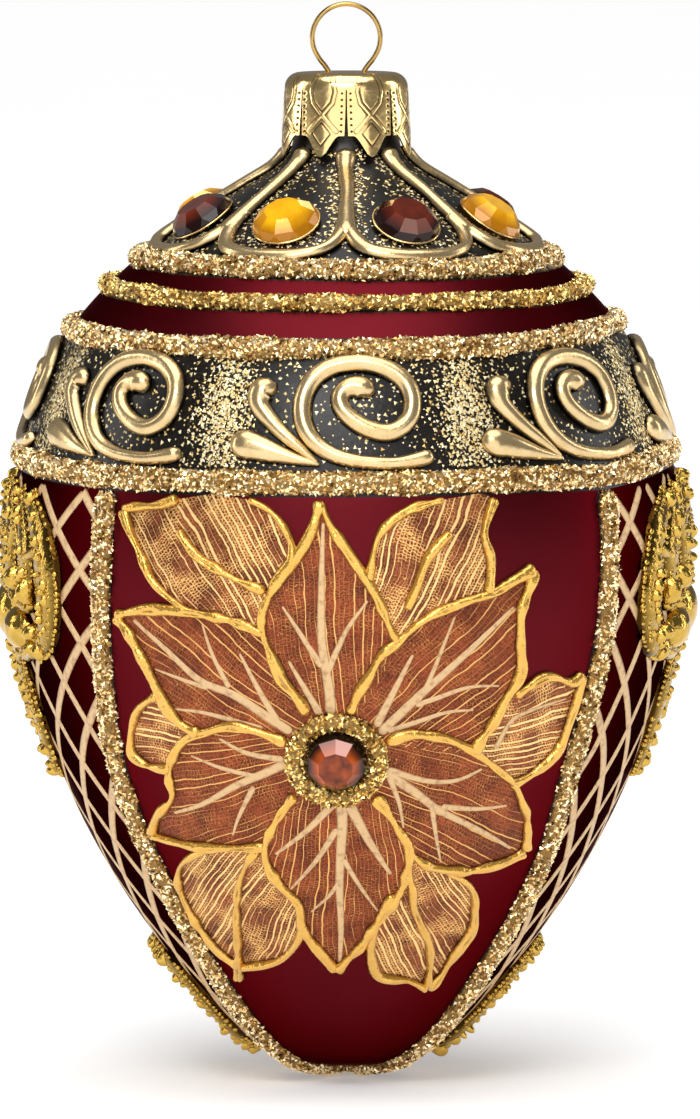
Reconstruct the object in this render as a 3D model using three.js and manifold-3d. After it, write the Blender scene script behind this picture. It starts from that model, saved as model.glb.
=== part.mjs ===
// A hollow blown-glass egg ornament with its crown cap, hanging ring, glitter ropes, raised gold
// piping, faceted stones and filigree. Millimetres, +Z up, front towards -Y.
// The egg is drawn with its tip at height 0 and then let down, so that the origin is where the
// ring hangs from its hook.
import * as THREE from 'three';
import { mergeVertices } from 'three/addons/utils/BufferGeometryUtils.js';
import Module from 'manifold-3d';

const wasm = await Module();
wasm.setup();

// Driving dimensions
const GAP = 0.3;                // between pieces that touch on the real object
const WALL = 1.0;               // glass
const REPEATS = 8;              // flaps, stones, loops and scrolls around the egg
const STEP_ANGLE = 2 * Math.PI / REPEATS;
const ROUND_SIDES = 24;         // facets around the glass, the level ropes and the cap
const NECK_RADIUS = 7.0;
const NECK_TOP = 134.2;
const CAP_TOP = 135.4;
const CAP_SHOULDER = 134.4;     // where the flat top has curved over into the flaps
const CAP_POINTS = 124.3;       // height of the lowest points of the flaps
const CAP_TOP_RADIUS = 7.5;
const CAP_SHOULDER_RADIUS = 8.4;
const CAP_POINT_RADIUS = 9.15;
const CAP_WALL = 0.6;
const RING_CENTRE = 140.0;
const RING_RADIUS = 4.6;        // to the middle of the wire
const WIRE_RADIUS = 0.34;
const LEG_OFFSET = 2.47;        // of each wire leg from the axis, where it goes through the cap
const LEG_HOLE_RADIUS = 0.85;
const STONE_HEIGHT = 2.8;
const DOME_STONE_RADIUS = 4.4;
const FLOWER_STONE_RADIUS = 4.15;
const ROPE_HEIGHT = 1.3;
const PANEL_ROPE_ANGLE = THREE.MathUtils.degToRad(49);   // each side of the front and the back
const PIPE_WIDTH = 1.8;         // raised gold piping on the dome and in the scrolls
const PIPE_HEIGHT = 0.95;
const PASTE_WIDTH = 1.3;        // raised gold outlines of the flowers
const PASTE_HEIGHT = 0.8;
const SCROLL_TURN = THREE.MathUtils.degToRad(2);         // the scrolls and the panels were drawn
const PANEL_TURN = THREE.MathUtils.degToRad(1);          // a little to the right of the flaps
const FRONT = PANEL_TURN;
const RIGHT = FRONT + Math.PI / 2;
const BACK = FRONT + Math.PI;
const LEFT = FRONT - Math.PI / 2;

// Distances up the glass, measured along its surface from the tip
const STONE_LEVEL = 145;
const FLOWER_LEVEL = 65.5;
const MEDALLION_LEVEL = 84;
const STEM_TOP = 159.5;
const BOTTOM_ROPE_LEVEL = 102.6;
const SHOULDER_ROPES = [        // level and width, from the dome down
  [134.8, 3.5],
  [128.8, 3.0],
  [121.0, 3.3],
  [BOTTOM_ROPE_LEVEL, 3.5],
];

// The glass: radius and height from the tip up to the top of the neck
const glassLine = new THREE.SplineCurve([
  [0, 0], [5.5, 0.55], [11.2, 2.45], [19.0, 9.25], [29.4, 22.85], [37.0, 36.45],
  [42.2, 50.05], [45.1, 63.65], [45.3, 77.0], [42.7, 89.0], [38.0, 99.9], [30.1, 108.8],
  [21.35, 115.3], [14.2, 119.8], [9.5, 122.6], [7.4, 125.0], [NECK_RADIUS, 128.0],
  [NECK_RADIUS, NECK_TOP],
].map(([radius, height]) => new THREE.Vector2(radius, height)));
glassLine.arcLengthDivisions = 400;
const GLASS_LENGTH = glassLine.getLength();

// A point in the egg's half section: a share of the glass line, and a height off its surface
function linePoint(t, lift) {
  const point = glassLine.getPoint(t);
  const along = glassLine.getTangent(t);
  return new THREE.Vector2(point.x + lift * along.y, point.y - lift * along.x);
}

// The same by distance up the glass
function sectionPoint(level, lift) {
  return linePoint(glassLine.getUtoTmapping(0, THREE.MathUtils.clamp(level, 0, GLASS_LENGTH)), lift);
}

// The same point turned around the egg: an angle from the front, plus a distance across
function onGlass(angle, across, level, lift) {
  const foot = sectionPoint(level, 0).x;
  const { x: radius, y: height } = sectionPoint(level, lift);
  const turn = angle + across / Math.max(foot, 1);
  return new THREE.Vector3(radius * Math.sin(turn), -radius * Math.cos(turn), height);
}

// Moves every corner of a closed geometry to the place that a function gives for it
function reshape(geometry, place) {
  geometry.deleteAttribute('normal');
  geometry.deleteAttribute('uv');
  const shared = mergeVertices(geometry, 1e-4);
  const position = shared.getAttribute('position');
  const corner = new THREE.Vector3();
  for (let i = 0; i < position.count; i += 1) {
    corner.fromBufferAttribute(position, i);
    const moved = place(corner);
    position.setXYZ(i, moved.x, moved.y, moved.z);
  }
  return shared;
}

// Full width along the middle of a stroke, with rounded ends
function roundEnded(t) {
  const end = Math.max(Math.abs(2 * t - 1) - 0.86, 0) / 0.14;
  return Math.sqrt(1 - 0.8 * end * end);
}

// A raised stroke on the glass. The line is a list of [across, level] points from an angle; the
// section is a polygon with a flat underside, as wide as `width` and as high as `height`.
function stroke(angle, line, { width, height, sides = 3, step = 5, profile = roundEnded }) {
  const curve = new THREE.SplineCurve(line.map(([across, level]) => new THREE.Vector2(across, level)));
  const steps = Math.max(2, Math.round(curve.getLength() / step));
  const turned = sides % 2 ? 0 : Math.PI / sides;
  const bar = new THREE.CylinderGeometry(1, 1, 1, sides, steps, false, turned);
  const foot = Math.cos(Math.PI / sides);
  const top = sides % 2 ? 1 : foot;
  const halfWidth = sides === 3 ? Math.sin(Math.PI / 3) : Math.sin(Math.PI / sides * Math.floor(sides / 2));
  return reshape(bar, (corner) => {
    const t = THREE.MathUtils.clamp(corner.y + 0.5, 0, 1);
    const middle = curve.getPointAt(t);
    const along = curve.getTangentAt(t);
    const side = corner.x / halfWidth * width / 2 * profile(t);
    const lift = GAP + (corner.z + foot) / (top + foot) * height * Math.sqrt(profile(t));
    return onGlass(angle, middle.x + along.y * side, middle.y - along.x * side, lift);
  });
}

// Joins and cuts of closed geometries
function toSolid(geometry) {
  const clean = geometry.clone();
  clean.deleteAttribute('normal');
  clean.deleteAttribute('uv');
  const shared = mergeVertices(clean, 1e-4);
  return new wasm.Manifold(new wasm.Mesh({
    numProp: 3,
    vertProperties: new Float32Array(shared.getAttribute('position').array),
    triVerts: new Uint32Array(shared.index.array),
  }));
}

function fromSolid(solid) {
  const { vertProperties, triVerts } = solid.getMesh();
  const geometry = new THREE.BufferGeometry();
  geometry.setAttribute('position', new THREE.BufferAttribute(new Float32Array(vertProperties), 3));
  geometry.setIndex(new THREE.BufferAttribute(new Uint32Array(triVerts), 1));
  return geometry;
}

function join(geometries) {
  return fromSolid(geometries.map(toSolid).reduce((whole, next) => whole.add(next)));
}

function cut(geometry, cutters) {
  return fromSolid(cutters.map(toSolid).reduce((whole, next) => whole.subtract(next), toSolid(geometry)));
}

// The hollow glass, from the outside of the tip over the neck's rim to the inside of the tip
function glassEgg() {
  const rows = 24;
  const innerRows = 14;
  const outline = [];
  for (let i = 0; i <= rows; i += 1) {
    outline.push(linePoint(i / rows, 0));
  }
  for (let i = innerRows; i >= 0; i -= 1) {
    outline.push(linePoint(i / innerRows, -WALL));
  }
  outline[0].x = 0;
  outline[outline.length - 1].x = 0;
  return uprightLathe(outline, ROUND_SIDES);
}

// A lathe turned about the upright axis, with one facet edge towards the front
function uprightLathe(outline, sides) {
  return new THREE.LatheGeometry(outline, sides).rotateX(Math.PI / 2);
}

// The stamped cap: a thin cup over the neck, slit into eight flaps with pointed ends
function crownCap() {
  const outside = [
    [0, CAP_TOP], [CAP_TOP_RADIUS, CAP_TOP], [CAP_SHOULDER_RADIUS, CAP_SHOULDER], [CAP_POINT_RADIUS, CAP_POINTS],
  ];
  const inside = [
    [CAP_POINT_RADIUS - CAP_WALL, CAP_POINTS], [CAP_SHOULDER_RADIUS - CAP_WALL, CAP_TOP - CAP_WALL],
    [0, CAP_TOP - CAP_WALL],
  ];
  const outline = [...outside, ...inside].map(([radius, height]) => new THREE.Vector2(radius, height));
  const cup = uprightLathe(outline.reverse(), ROUND_SIDES);
  const cutters = [wireHole(1), wireHole(-1)];
  for (let i = 0; i < REPEATS; i += 1) {
    cutters.push(flapGap().rotateZ(i * STEP_ANGLE));
  }
  return cut(cup, cutters);
}

// The gap between two flaps: a fine slit that opens into a notch between their points
function flapGap() {
  const half = [[0.2, 133.0], [0.35, 126.9], [1.5, 126.6], [3.2, CAP_POINTS - 0.1], [3.2, CAP_POINTS - 2]];
  const outline = new THREE.Shape([
    ...half.map(([x, z]) => new THREE.Vector2(x, z)),
    ...half.slice().reverse().map(([x, z]) => new THREE.Vector2(-x, z)),
  ]);
  return new THREE.ExtrudeGeometry(outline, { depth: 5, bevelEnabled: false })
    .rotateX(Math.PI / 2)
    .translate(0, -6, 0);
}

function wireHole(side) {
  return new THREE.CylinderGeometry(LEG_HOLE_RADIUS, LEG_HOLE_RADIUS, 4, 8)
    .rotateX(Math.PI / 2)
    .translate(side * LEG_OFFSET, 0, CAP_TOP);
}

// The wire: most of a circle, then two legs through the cap that spring open inside the neck
function hangingRing() {
  const leg = [[LEG_OFFSET, CAP_TOP], [LEG_OFFSET, 134.0], [3.7, 130.8], [4.9, 127.4]];
  const points = leg.slice().reverse();
  const openAngle = THREE.MathUtils.degToRad(50);
  const arcSteps = 12;
  for (let i = 0; i <= arcSteps; i += 1) {
    const turn = -openAngle + (Math.PI + 2 * openAngle) * i / arcSteps;
    points.push([RING_RADIUS * Math.cos(turn), RING_CENTRE + RING_RADIUS * Math.sin(turn)]);
  }
  leg.forEach(([x, z]) => points.push([-x, z]));
  const path = new THREE.CatmullRomCurve3(points.map(([x, z]) => new THREE.Vector3(x, 0, z)));
  const section = new THREE.Shape();
  section.absarc(0, 0, WIRE_RADIUS, 0, 2 * Math.PI);
  return new THREE.ExtrudeGeometry(section, { extrudePath: path, steps: 27, curveSegments: 3 });
}

// A flat-backed stone with a bevelled crown and a flat top
function stone(radius) {
  const outline = [[0, 0], [radius, 0], [radius, 0.6], [radius * 0.55, STONE_HEIGHT], [0, STONE_HEIGHT]]
    .map(([r, z]) => new THREE.Vector2(r, z));
  return uprightLathe(outline, 8);
}

// Sets a stone on the glass, facing out
function setStone(mesh, angle, across, level) {
  const foot = onGlass(angle, across, level, GAP);
  const outward = onGlass(angle, across, level, GAP + 1).sub(foot);
  mesh.position.copy(foot);
  mesh.quaternion.setFromUnitVectors(new THREE.Vector3(0, 0, 1), outward);
}

// One level rope around the egg: its section is a polygon closed on itself
function shoulderRope(level, width) {
  const section = [[-0.5, 0], [-0.32, 1], [0.32, 1], [0.5, 0], [-0.5, 0]];
  const outline = section.map(([side, rise]) => sectionPoint(level + side * width, GAP + rise * ROPE_HEIGHT));
  return uprightLathe(outline, ROUND_SIDES);
}

function panelRope(angle) {
  const top = BOTTOM_ROPE_LEVEL - SHOULDER_ROPES[3][1] / 2 - GAP;
  return stroke(angle, [[0, 4], [0, 20], [0, 50], [0, 80], [0, top]], {
    width: 3.5, height: ROPE_HEIGHT, sides: 4, step: 6.5, profile: () => 1,
  });
}

// The rope of glitter around a flower's stone
function stoneRope(angle, across) {
  const tube = 0.95;
  const ring = new THREE.TorusGeometry(FLOWER_STONE_RADIUS + GAP + tube, tube, 4, 14);
  return reshape(ring, (corner) => (
    onGlass(angle, across + corner.x, FLOWER_LEVEL + corner.y, GAP + (corner.z + tube) * 0.7)
  ));
}

// Stems from under the cap that part into loops beneath the stones
function domePiping() {
  const pipe = { width: PIPE_WIDTH, height: PIPE_HEIGHT, sides: 4 };
  const loop = [[0, 145], [0.06, 141.5], [0.18, 139.2], [0.5, 138.0], [0.82, 139.2], [0.94, 141.5], [1, 145]];
  const pieces = [];
  for (let i = 0; i < REPEATS; i += 1) {
    const angle = i * STEP_ANGLE;
    const line = loop.map(([share, level]) => (
      [share * STEP_ANGLE * sectionPoint(level, 0).x, level]
    ));
    pieces.push(stroke(angle, line, { ...pipe, step: 4 }));
    pieces.push(stroke(angle, [[0, 143.6], [0, 151], [0, STEM_TOP]], { ...pipe, step: 7.5 }));
  }
  return join(pieces);
}

// One scroll: a spiral with a long foot, and a curl and a teardrop that grow from the same foot
function scroll(angle) {
  const pipe = { height: PIPE_HEIGHT, sides: 4, step: 5 };
  const spiral = [[9.8, 106.3], [6.0, 105.7], [2.3, 105.6], [-1.2, 106.2], [-4.9, 107.7], [-7.2, 110.6],
    [-7.3, 113.8], [-5.4, 116.9], [-2.0, 118.2], [1.5, 118.2], [4.8, 117.3], [6.9, 114.9], [7.1, 112.0],
    [5.6, 109.8], [2.9, 109.1], [0.2, 110.0], [-1.8, 112.0], [-1.7, 114.4], [0.2, 115.4], [1.6, 114.1]];
  const curl = [[-4.0, 107.0], [-8.2, 108.3], [-10.9, 110.8], [-12.7, 113.6], [-12.8, 115.6]];
  const teardrop = [[-2.8, 106.3], [-8.8, 106.4], [-12.2, 107.2], [-15.6, 107.5]];
  return join([
    stroke(angle, spiral, { ...pipe, width: PIPE_WIDTH, step: 4.2 }),
    stroke(angle, curl, { ...pipe, width: 2.1, profile: (t) => 0.45 + 0.55 * t }),
    stroke(angle, teardrop, { ...pipe, width: 3.0, profile: (t) => 0.3 + 0.7 * Math.sin(2.2 * t) }),
  ]);
}

// The gold paste drawn around the front flower's petals, and along the ribs of those behind
function frontFlowerOutline(angle) {
  const lines = [
    // top petal
    [[-3.4, 100.3], [-5.4, 94.5], [-9.4, 89], [-11, 84], [-8.6, 77.5], [-5.4, 72.8]],
    [[-3.4, 100.3], [-1.2, 96], [3.2, 89.5], [6.9, 81.6]],
    // upper right petal
    [[0.8, 72.9], [3, 77.8], [6.5, 82], [10.5, 85], [15, 87], [19, 88], [22.3, 89.4], [26.2, 91]],
    [[26.2, 91], [24.4, 86.5], [23.8, 81], [24, 77], [21.5, 72.8], [17, 66]],
    // upper left petal
    [[-33.3, 84.4], [-28, 85.5], [-20, 85.3], [-15, 84.7], [-10.7, 82.8]],
    [[-33.3, 84.4], [-29.5, 80], [-26.5, 74.5], [-23, 70], [-20, 68.8]],
    // lower left petal
    [[-8.6, 68.2], [-14, 69.8], [-20, 69], [-23.6, 66.5], [-24.9, 62.5], [-24.6, 59], [-27.5, 56], [-28.9, 52.8]],
    [[-28.9, 52.8], [-24, 52.2], [-18, 51.5], [-10.7, 52.2]],
    // bottom petal
    [[-6.8, 60.4], [-9.5, 56], [-10.9, 51.5], [-9.3, 47], [-6.6, 43.5], [-6, 39], [-3.8, 35], [-1.3, 31]],
    [[3.8, 60.2], [6.5, 56], [8.2, 51.5], [7.4, 46], [4.5, 40.5], [1.5, 35], [-1.3, 31]],
    // lower right petal
    [[6, 68.7], [10, 69.2], [15, 67.8], [20, 64.3], [24, 60.3], [25.8, 55.5], [26.2, 50.4]],
    [[26.2, 50.4], [20, 48.3], [15, 48.1], [11, 49], [7.9, 52]],
    // the petals behind, from the top left round to the right
    [[-32, 98.5], [-28.4, 92], [-26, 88.8], [-21, 85.4]],
    [[-32, 98.5], [-27, 99.2], [-23, 100.2]],
    [[-13, 100.4], [-9.5, 98.5], [-7.3, 94.5], [-7.6, 91]],
    [[-23, 96.2], [-18.5, 91.8], [-9.6, 88.2]],
    [[13, 100.3], [7.5, 98.9], [4, 95.5], [2.9, 89.9]],
    [[20.1, 100.3], [18.5, 96], [19.6, 92.5], [19.2, 88]],
    [[13.6, 96.2], [10.3, 92.5], [8.4, 83.6]],
    [[23.2, 74], [28, 76.4], [32.5, 75.2], [34.8, 76.3]],
    [[34.8, 76.3], [32.5, 69.5], [29.5, 64.5], [22.8, 61]],
    [[13.4, 48.2], [17, 45.5], [18.2, 40], [15.5, 33.5], [11.2, 27]],
    [[8, 48.6], [9.8, 40], [11.5, 34], [11.2, 27]],
    [[6.5, 44.6], [4, 40], [3.2, 34.5], [4.2, 30.3], [8.5, 29], [11.2, 27]],
    [[-14.9, 31], [-9.3, 32.6], [-6.9, 35.8], [-5.8, 39]],
    [[-11.9, 52], [-14.7, 45.5], [-15, 38], [-15.4, 28.4]],
    [[-19, 51.6], [-23.5, 48.5], [-24.4, 44.5], [-22.5, 39], [-18.5, 33.8], [-15, 31]],
    [[-26.3, 74], [-30, 71.2], [-31.5, 66], [-29.5, 64], [-24.6, 63.3]],
  ];
  return join(lines.map((line) => stroke(angle, line, { width: PASTE_WIDTH, height: PASTE_HEIGHT, step: 7.5 })));
}

// The back flower is plainer: six equal petals
function backFlowerOutline(angle) {
  const petals = 6;
  const reach = 30;
  const edge = [[6.3, 3.64], [14, 6.4], [21, 5.6], [reach, 0]];
  const lines = [];
  for (let i = 0; i < petals; i += 1) {
    const turn = 2 * Math.PI * i / petals;
    for (const side of [1, -1]) {
      lines.push(edge.map(([out, aside]) => [
        out * Math.sin(turn) + side * aside * Math.cos(turn),
        FLOWER_LEVEL + out * Math.cos(turn) - side * aside * Math.sin(turn),
      ]));
    }
  }
  return join(lines.map((line) => stroke(angle, line, { width: PASTE_WIDTH, height: PASTE_HEIGHT, step: 8 })));
}

// A side ornament: lobes that fan up and out from a polished boss, and a hanging leaf below it
function medallion(angle) {
  const leaf = (t) => 0.4 + 0.6 * Math.sin(Math.PI * t);
  const fan = [[[8, 82.5], [15, 81.3], [20.6, 85], [22, 91], [20.2, 98.8]],
    [[6, 84], [12.4, 87.6], [15.2, 93.5], [15.4, 99.9]], [[3, 85], [7, 89.5], [8.9, 99.9]]];
  const lobes = [[[0, 85], [0, 92], [0, 99.9]]];
  for (const side of [1, -1]) {
    lobes.push(...fan.map((line) => line.map(([across, level]) => [side * across, level])));
  }
  const bossSize = new THREE.Vector3(9.2, 3.1, 2.5);
  const boss = reshape(new THREE.SphereGeometry(1, 8, 6), (corner) => onGlass(
    angle,
    corner.x * bossSize.x,
    MEDALLION_LEVEL - 1.5 + corner.y * bossSize.y,
    GAP + Math.max(corner.z, 0) * bossSize.z + (corner.z < -0.1 ? 0 : 0.2),
  ));
  return join([
    ...lobes.map((line) => stroke(angle, line, { width: 4.8, height: 1.7, sides: 4, step: 6, profile: leaf })),
    boss,
    stroke(angle, [[0, 81], [0, 70], [0, 60.2]], {
      width: 13, height: 1.9, sides: 4, step: 7, profile: (t) => 0.55 + 0.45 * Math.sin(Math.PI * t),
    }),
  ]);
}

// A narrow leaf of two granulated strips near the tip
function tipLeaf(angle) {
  const strip = (side) => stroke(angle, [[side * 0.2, 31.5], [side * 3.1, 26], [side * 2.7, 19], [side * 0.2, 12.5]], {
    width: 2.3, height: 1.8, sides: 4, step: 4,
  });
  return join([strip(1), strip(-1)]);
}

// Finishes: colour, roughness, metalness
const FINISH = {
  glass: ['#6b0f1e', 0.35, 0],
  cap: ['#d8b266', 0.2, 1],
  wire: ['#c99a4a', 0.25, 1],
  amber: ['#d99a10', 0.05, 0],
  garnet: ['#6a2416', 0.05, 0],
  glitter: ['#c8a25a', 0.45, 1],
  piping: ['#c9a86a', 0.35, 1],
  paste: ['#e0b050', 0.35, 1],
  filigree: ['#c9a227', 0.3, 1],
};

const egg = new THREE.Group();

function add(name, geometry, finish) {
  const [color, roughness, metalness] = FINISH[finish];
  const mesh = new THREE.Mesh(geometry, new THREE.MeshStandardMaterial({ color, roughness, metalness }));
  mesh.name = name;
  egg.add(mesh);
  return mesh;
}

add('glass_egg', glassEgg(), 'glass');
add('crown_cap', crownCap(), 'cap');
add('hanging_ring', hangingRing(), 'wire');
add('dome_piping', domePiping(), 'piping');

for (let i = 0; i < REPEATS; i += 1) {
  const domeStone = add(`dome_stone_${i + 1}`, stone(DOME_STONE_RADIUS), i % 2 ? 'amber' : 'garnet');
  setStone(domeStone, (i + 0.5) * STEP_ANGLE, 0, STONE_LEVEL);
  add(`scroll_${i + 1}`, scroll(i * STEP_ANGLE + SCROLL_TURN), 'piping');
}

SHOULDER_ROPES.forEach(([level, width], i) => {
  add(`shoulder_rope_${i + 1}`, shoulderRope(level, width), 'glitter');
});

[FRONT + PANEL_ROPE_ANGLE, BACK - PANEL_ROPE_ANGLE, BACK + PANEL_ROPE_ANGLE, FRONT - PANEL_ROPE_ANGLE]
  .forEach((angle, i) => add(`panel_rope_${i + 1}`, panelRope(angle), 'glitter'));

const FRONT_SHIFT = -1.3;       // the front flower was drawn a little left of the flaps' middle
for (const [place, angle, across, outline] of [
  ['front', 0, FRONT_SHIFT, frontFlowerOutline],
  ['back', BACK, 0, backFlowerOutline],
]) {
  add(`${place}_flower_outline`, outline(angle), 'paste');
  setStone(add(`${place}_stone`, stone(FLOWER_STONE_RADIUS), 'garnet'), angle, across, FLOWER_LEVEL);
  add(`${place}_stone_rope`, stoneRope(angle, across), 'glitter');
}

for (const [place, angle] of [['left', LEFT], ['right', RIGHT]]) {
  add(`${place}_medallion`, medallion(angle), 'filigree');
  add(`${place}_tip_leaf`, tipLeaf(angle), 'filigree');
}

egg.position.z = -(RING_CENTRE + RING_RADIUS - WIRE_RADIUS);
const ornament = new THREE.Group();
ornament.add(egg);

export default ornament;
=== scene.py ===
# A blown-glass egg ornament for hanging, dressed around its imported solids: satin burgundy lacquer with
# zones of black enamel, a stamped gold cap, glitter ropes, raised gold piping, faceted stones, painted
# flowers and granulated filigree. Positions on the glass are in millimetres: `across` is measured round
# the glass from an angle, `level` up the glass from its tip, and `lift` off its surface.
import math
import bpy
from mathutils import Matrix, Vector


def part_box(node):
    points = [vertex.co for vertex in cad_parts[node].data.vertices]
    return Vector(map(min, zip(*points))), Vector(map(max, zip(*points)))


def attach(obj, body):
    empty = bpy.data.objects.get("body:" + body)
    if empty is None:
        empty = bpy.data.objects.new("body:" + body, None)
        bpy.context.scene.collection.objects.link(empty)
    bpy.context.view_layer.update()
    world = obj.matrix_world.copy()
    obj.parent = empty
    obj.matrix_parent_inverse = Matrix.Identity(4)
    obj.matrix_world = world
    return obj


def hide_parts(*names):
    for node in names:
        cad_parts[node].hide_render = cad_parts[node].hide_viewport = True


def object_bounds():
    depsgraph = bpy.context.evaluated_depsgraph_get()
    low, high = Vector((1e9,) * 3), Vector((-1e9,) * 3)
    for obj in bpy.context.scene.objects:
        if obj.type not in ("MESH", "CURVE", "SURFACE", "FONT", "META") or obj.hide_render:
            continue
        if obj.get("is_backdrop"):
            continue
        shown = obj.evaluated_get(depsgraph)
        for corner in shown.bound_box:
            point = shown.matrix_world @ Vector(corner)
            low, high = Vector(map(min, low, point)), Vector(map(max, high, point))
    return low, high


bl_info = {
    "name": "Jewelled egg ornament",
    "version": (1, 0, 0),
    "blender": (4, 5, 0),
    "location": "View3D > Sidebar > Jewelled egg",
    "description": "Dresses the packed solids of a jewelled glass egg ornament",
    "category": "Add Mesh",
}

import bpy
import numpy as np
from bpy.props import FloatProperty, FloatVectorProperty, PointerProperty
from mathutils import Vector
from mathutils.geometry import delaunay_2d_cdt

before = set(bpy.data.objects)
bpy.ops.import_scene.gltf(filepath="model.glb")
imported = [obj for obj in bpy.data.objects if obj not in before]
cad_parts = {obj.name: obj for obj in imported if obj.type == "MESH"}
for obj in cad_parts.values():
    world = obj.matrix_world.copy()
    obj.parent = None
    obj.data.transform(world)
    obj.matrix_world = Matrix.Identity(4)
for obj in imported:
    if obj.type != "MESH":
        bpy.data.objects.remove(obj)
CAD_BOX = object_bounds()

MM = 0.001
TURN = 2 * math.pi
REPEATS = 8                         # cap flaps, dome stones, loops and scrolls
STEP = TURN / REPEATS
TIP_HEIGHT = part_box("glass_egg")[0].z
SEED = 7

# The outside of the glass from its tip to the top of the neck: radius and height above the tip
GLASS_OUTLINE = [
    (0, 0), (5.5, 0.55), (11.2, 2.45), (19.0, 9.25), (29.4, 22.85), (37.0, 36.45), (42.2, 50.05),
    (45.1, 63.65), (45.3, 77.0), (42.7, 89.0), (38.0, 99.9), (30.1, 108.8), (21.35, 115.3), (14.2, 119.8),
    (9.5, 122.6), (7.4, 125.0), (7.0, 128.0), (7.0, 134.2),
]

# Levels and widths of the ropes around the egg, from the dome down
SHOULDER_ROPES = [(134.8, 3.5), (128.8, 2.6), (121.0, 3.3), (102.6, 3.3)]
PANEL_ROPE_FOOT = 0.3
PANEL_ROPE_TOP = 100.6
PANEL_ROPE_WIDTH = 3.4
STONE_LEVEL = 144.4
FACETS = 10                         # long facets round the table of a stone
FLOWER_LEVEL = 65.5
FLOWER_SHIFT = -1.3
MEDALLION_LEVEL = 84.0
STEM_TOP = 161.2

SCROLL_TURN = math.radians(2)
PANEL_TURN = math.radians(1)
PANEL_HALF = math.radians(49)       # from the middle of the front or back panel to its ropes
RIGHT = PANEL_TURN + math.pi / 2
BACK = PANEL_TURN + math.pi
LEFT = PANEL_TURN - math.pi / 2

# The flowers: their names, their angles and how far they lie aside
FLOWERS = (("front", 0.0, FLOWER_SHIFT), ("back", BACK, 0.0))

# The upright ropes: their angles, and how far they wander aside at a few levels
PANEL_ROPES = [
    (PANEL_TURN + PANEL_HALF, [(0, PANEL_ROPE_FOOT), (0, 20), (0, 48), (-1.2, 60), (-1.3, 69), (-0.3, 84),
                               (0, PANEL_ROPE_TOP)]),
    (BACK - PANEL_HALF, [(0, PANEL_ROPE_FOOT), (0, 20), (0, 50), (0, 80), (0, PANEL_ROPE_TOP)]),
    (BACK + PANEL_HALF, [(0, PANEL_ROPE_FOOT), (0, 20), (0, 50), (0, 80), (0, PANEL_ROPE_TOP)]),
    (PANEL_TURN - PANEL_HALF, [(0, PANEL_ROPE_FOOT), (0, 20), (0, 40), (-0.7, 54), (-0.6, 65), (1.3, 79),
                               (2.4, 92), (2.5, PANEL_ROPE_TOP)]),
]

# The stamped cap
CAP_TOP = 135.4
CAP_BEND = 2.1                      # radius of its rounded shoulder
CAP_NOTCH = 127.1                   # where the flaps part into points
CAP_POINTS = 124.3
CAP_SHOULDER_RADIUS = 8.4
CAP_POINT_RADIUS = 9.1

# The wire ring
RING_CENTRE = 140.0
RING_RADIUS = 4.6


def linear(hex_colour):
    """Linear RGBA of an sRGB hex colour"""
    parts = [int(hex_colour[i:i + 2], 16) / 255 for i in (1, 3, 5)]
    return [c / 12.92 if c <= 0.04045 else ((c + 0.055) / 1.055) ** 2.4 for c in parts] + [1.0]


def length_setting(name, description, default, least):
    """The setting of a length, given in millimetres"""
    return FloatProperty(name=name, description=description, default=default * MM, min=least * MM, unit="LENGTH")


def colour_setting(name, description, hex_colour):
    """The setting of a colour"""
    return FloatVectorProperty(name=name, description=description, default=linear(hex_colour), size=4,
                               subtype="COLOR", min=0, max=1)


class EggSizes(bpy.types.PropertyGroup):
    """Sizes of the trim"""
    wall: length_setting("Glass wall", "Thickness of the blown glass", 1.0, 0.4)
    rope_height: length_setting("Rope height", "Height of the glue under the glitter", 1.25, 0.3)
    grain: length_setting("Glitter grain", "Width of one grain of glitter", 0.78, 0.2)
    pipe_width: length_setting("Piping width", "Width of the raised gold piping", 1.85, 0.5)
    pipe_height: length_setting("Piping height", "Height of the raised gold piping", 1.2, 0.3)
    paste_width: length_setting("Paste width", "Width of the outlines of the flowers", 1.45, 0.4)
    paste_height: length_setting("Paste height", "Height of the outlines of the flowers", 0.95, 0.2)
    stone_height: length_setting("Stone height", "Height of the faceted stones", 2.8, 1.0)
    wire: length_setting("Ring wire", "Thickness of the wire of the ring", 0.68, 0.3)
    granule: length_setting("Granule", "Width of a middling granule of the filigree", 0.9, 0.3)
    fleck: length_setting("Gold fleck", "Width of one fleck of gold dust on the enamel", 0.5, 0.1)
    flecks: FloatProperty(name="Flecks", description="Gold flecks on a square millimetre where they are thickest",
                          default=15.0, min=0, max=30)


class EggColours(bpy.types.PropertyGroup):
    """Colours of the finishes"""
    lacquer: colour_setting("Lacquer", "Satin lacquer of the glass", "#62181f")
    enamel: colour_setting("Enamel", "Black enamel of the dome and the band", "#0b0907")
    copper: colour_setting("Copper film", "Petals of the flowers", "#662a18")
    pale_gold: colour_setting("Pale gold paint", "Painted veins and lattice", "#d0ac7c")
    glitter: colour_setting("Glitter", "Gold grains of the ropes", "#fff0cc")
    antique: colour_setting("Antique gold", "Raised piping", "#e6ce9c")
    paste: colour_setting("Gold paste", "Outlines of the flowers", "#e4b452")
    amber: colour_setting("Amber", "Yellow stones", "#e6aa0a")
    garnet: colour_setting("Garnet", "Brown-red stones", "#6a2410")
    cap: colour_setting("Cap gold", "Stamped cap", "#fee2a4")
    filigree: colour_setting("Filigree gold", "Side ornaments", "#dcb65a")


# Curves and the glass

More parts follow.
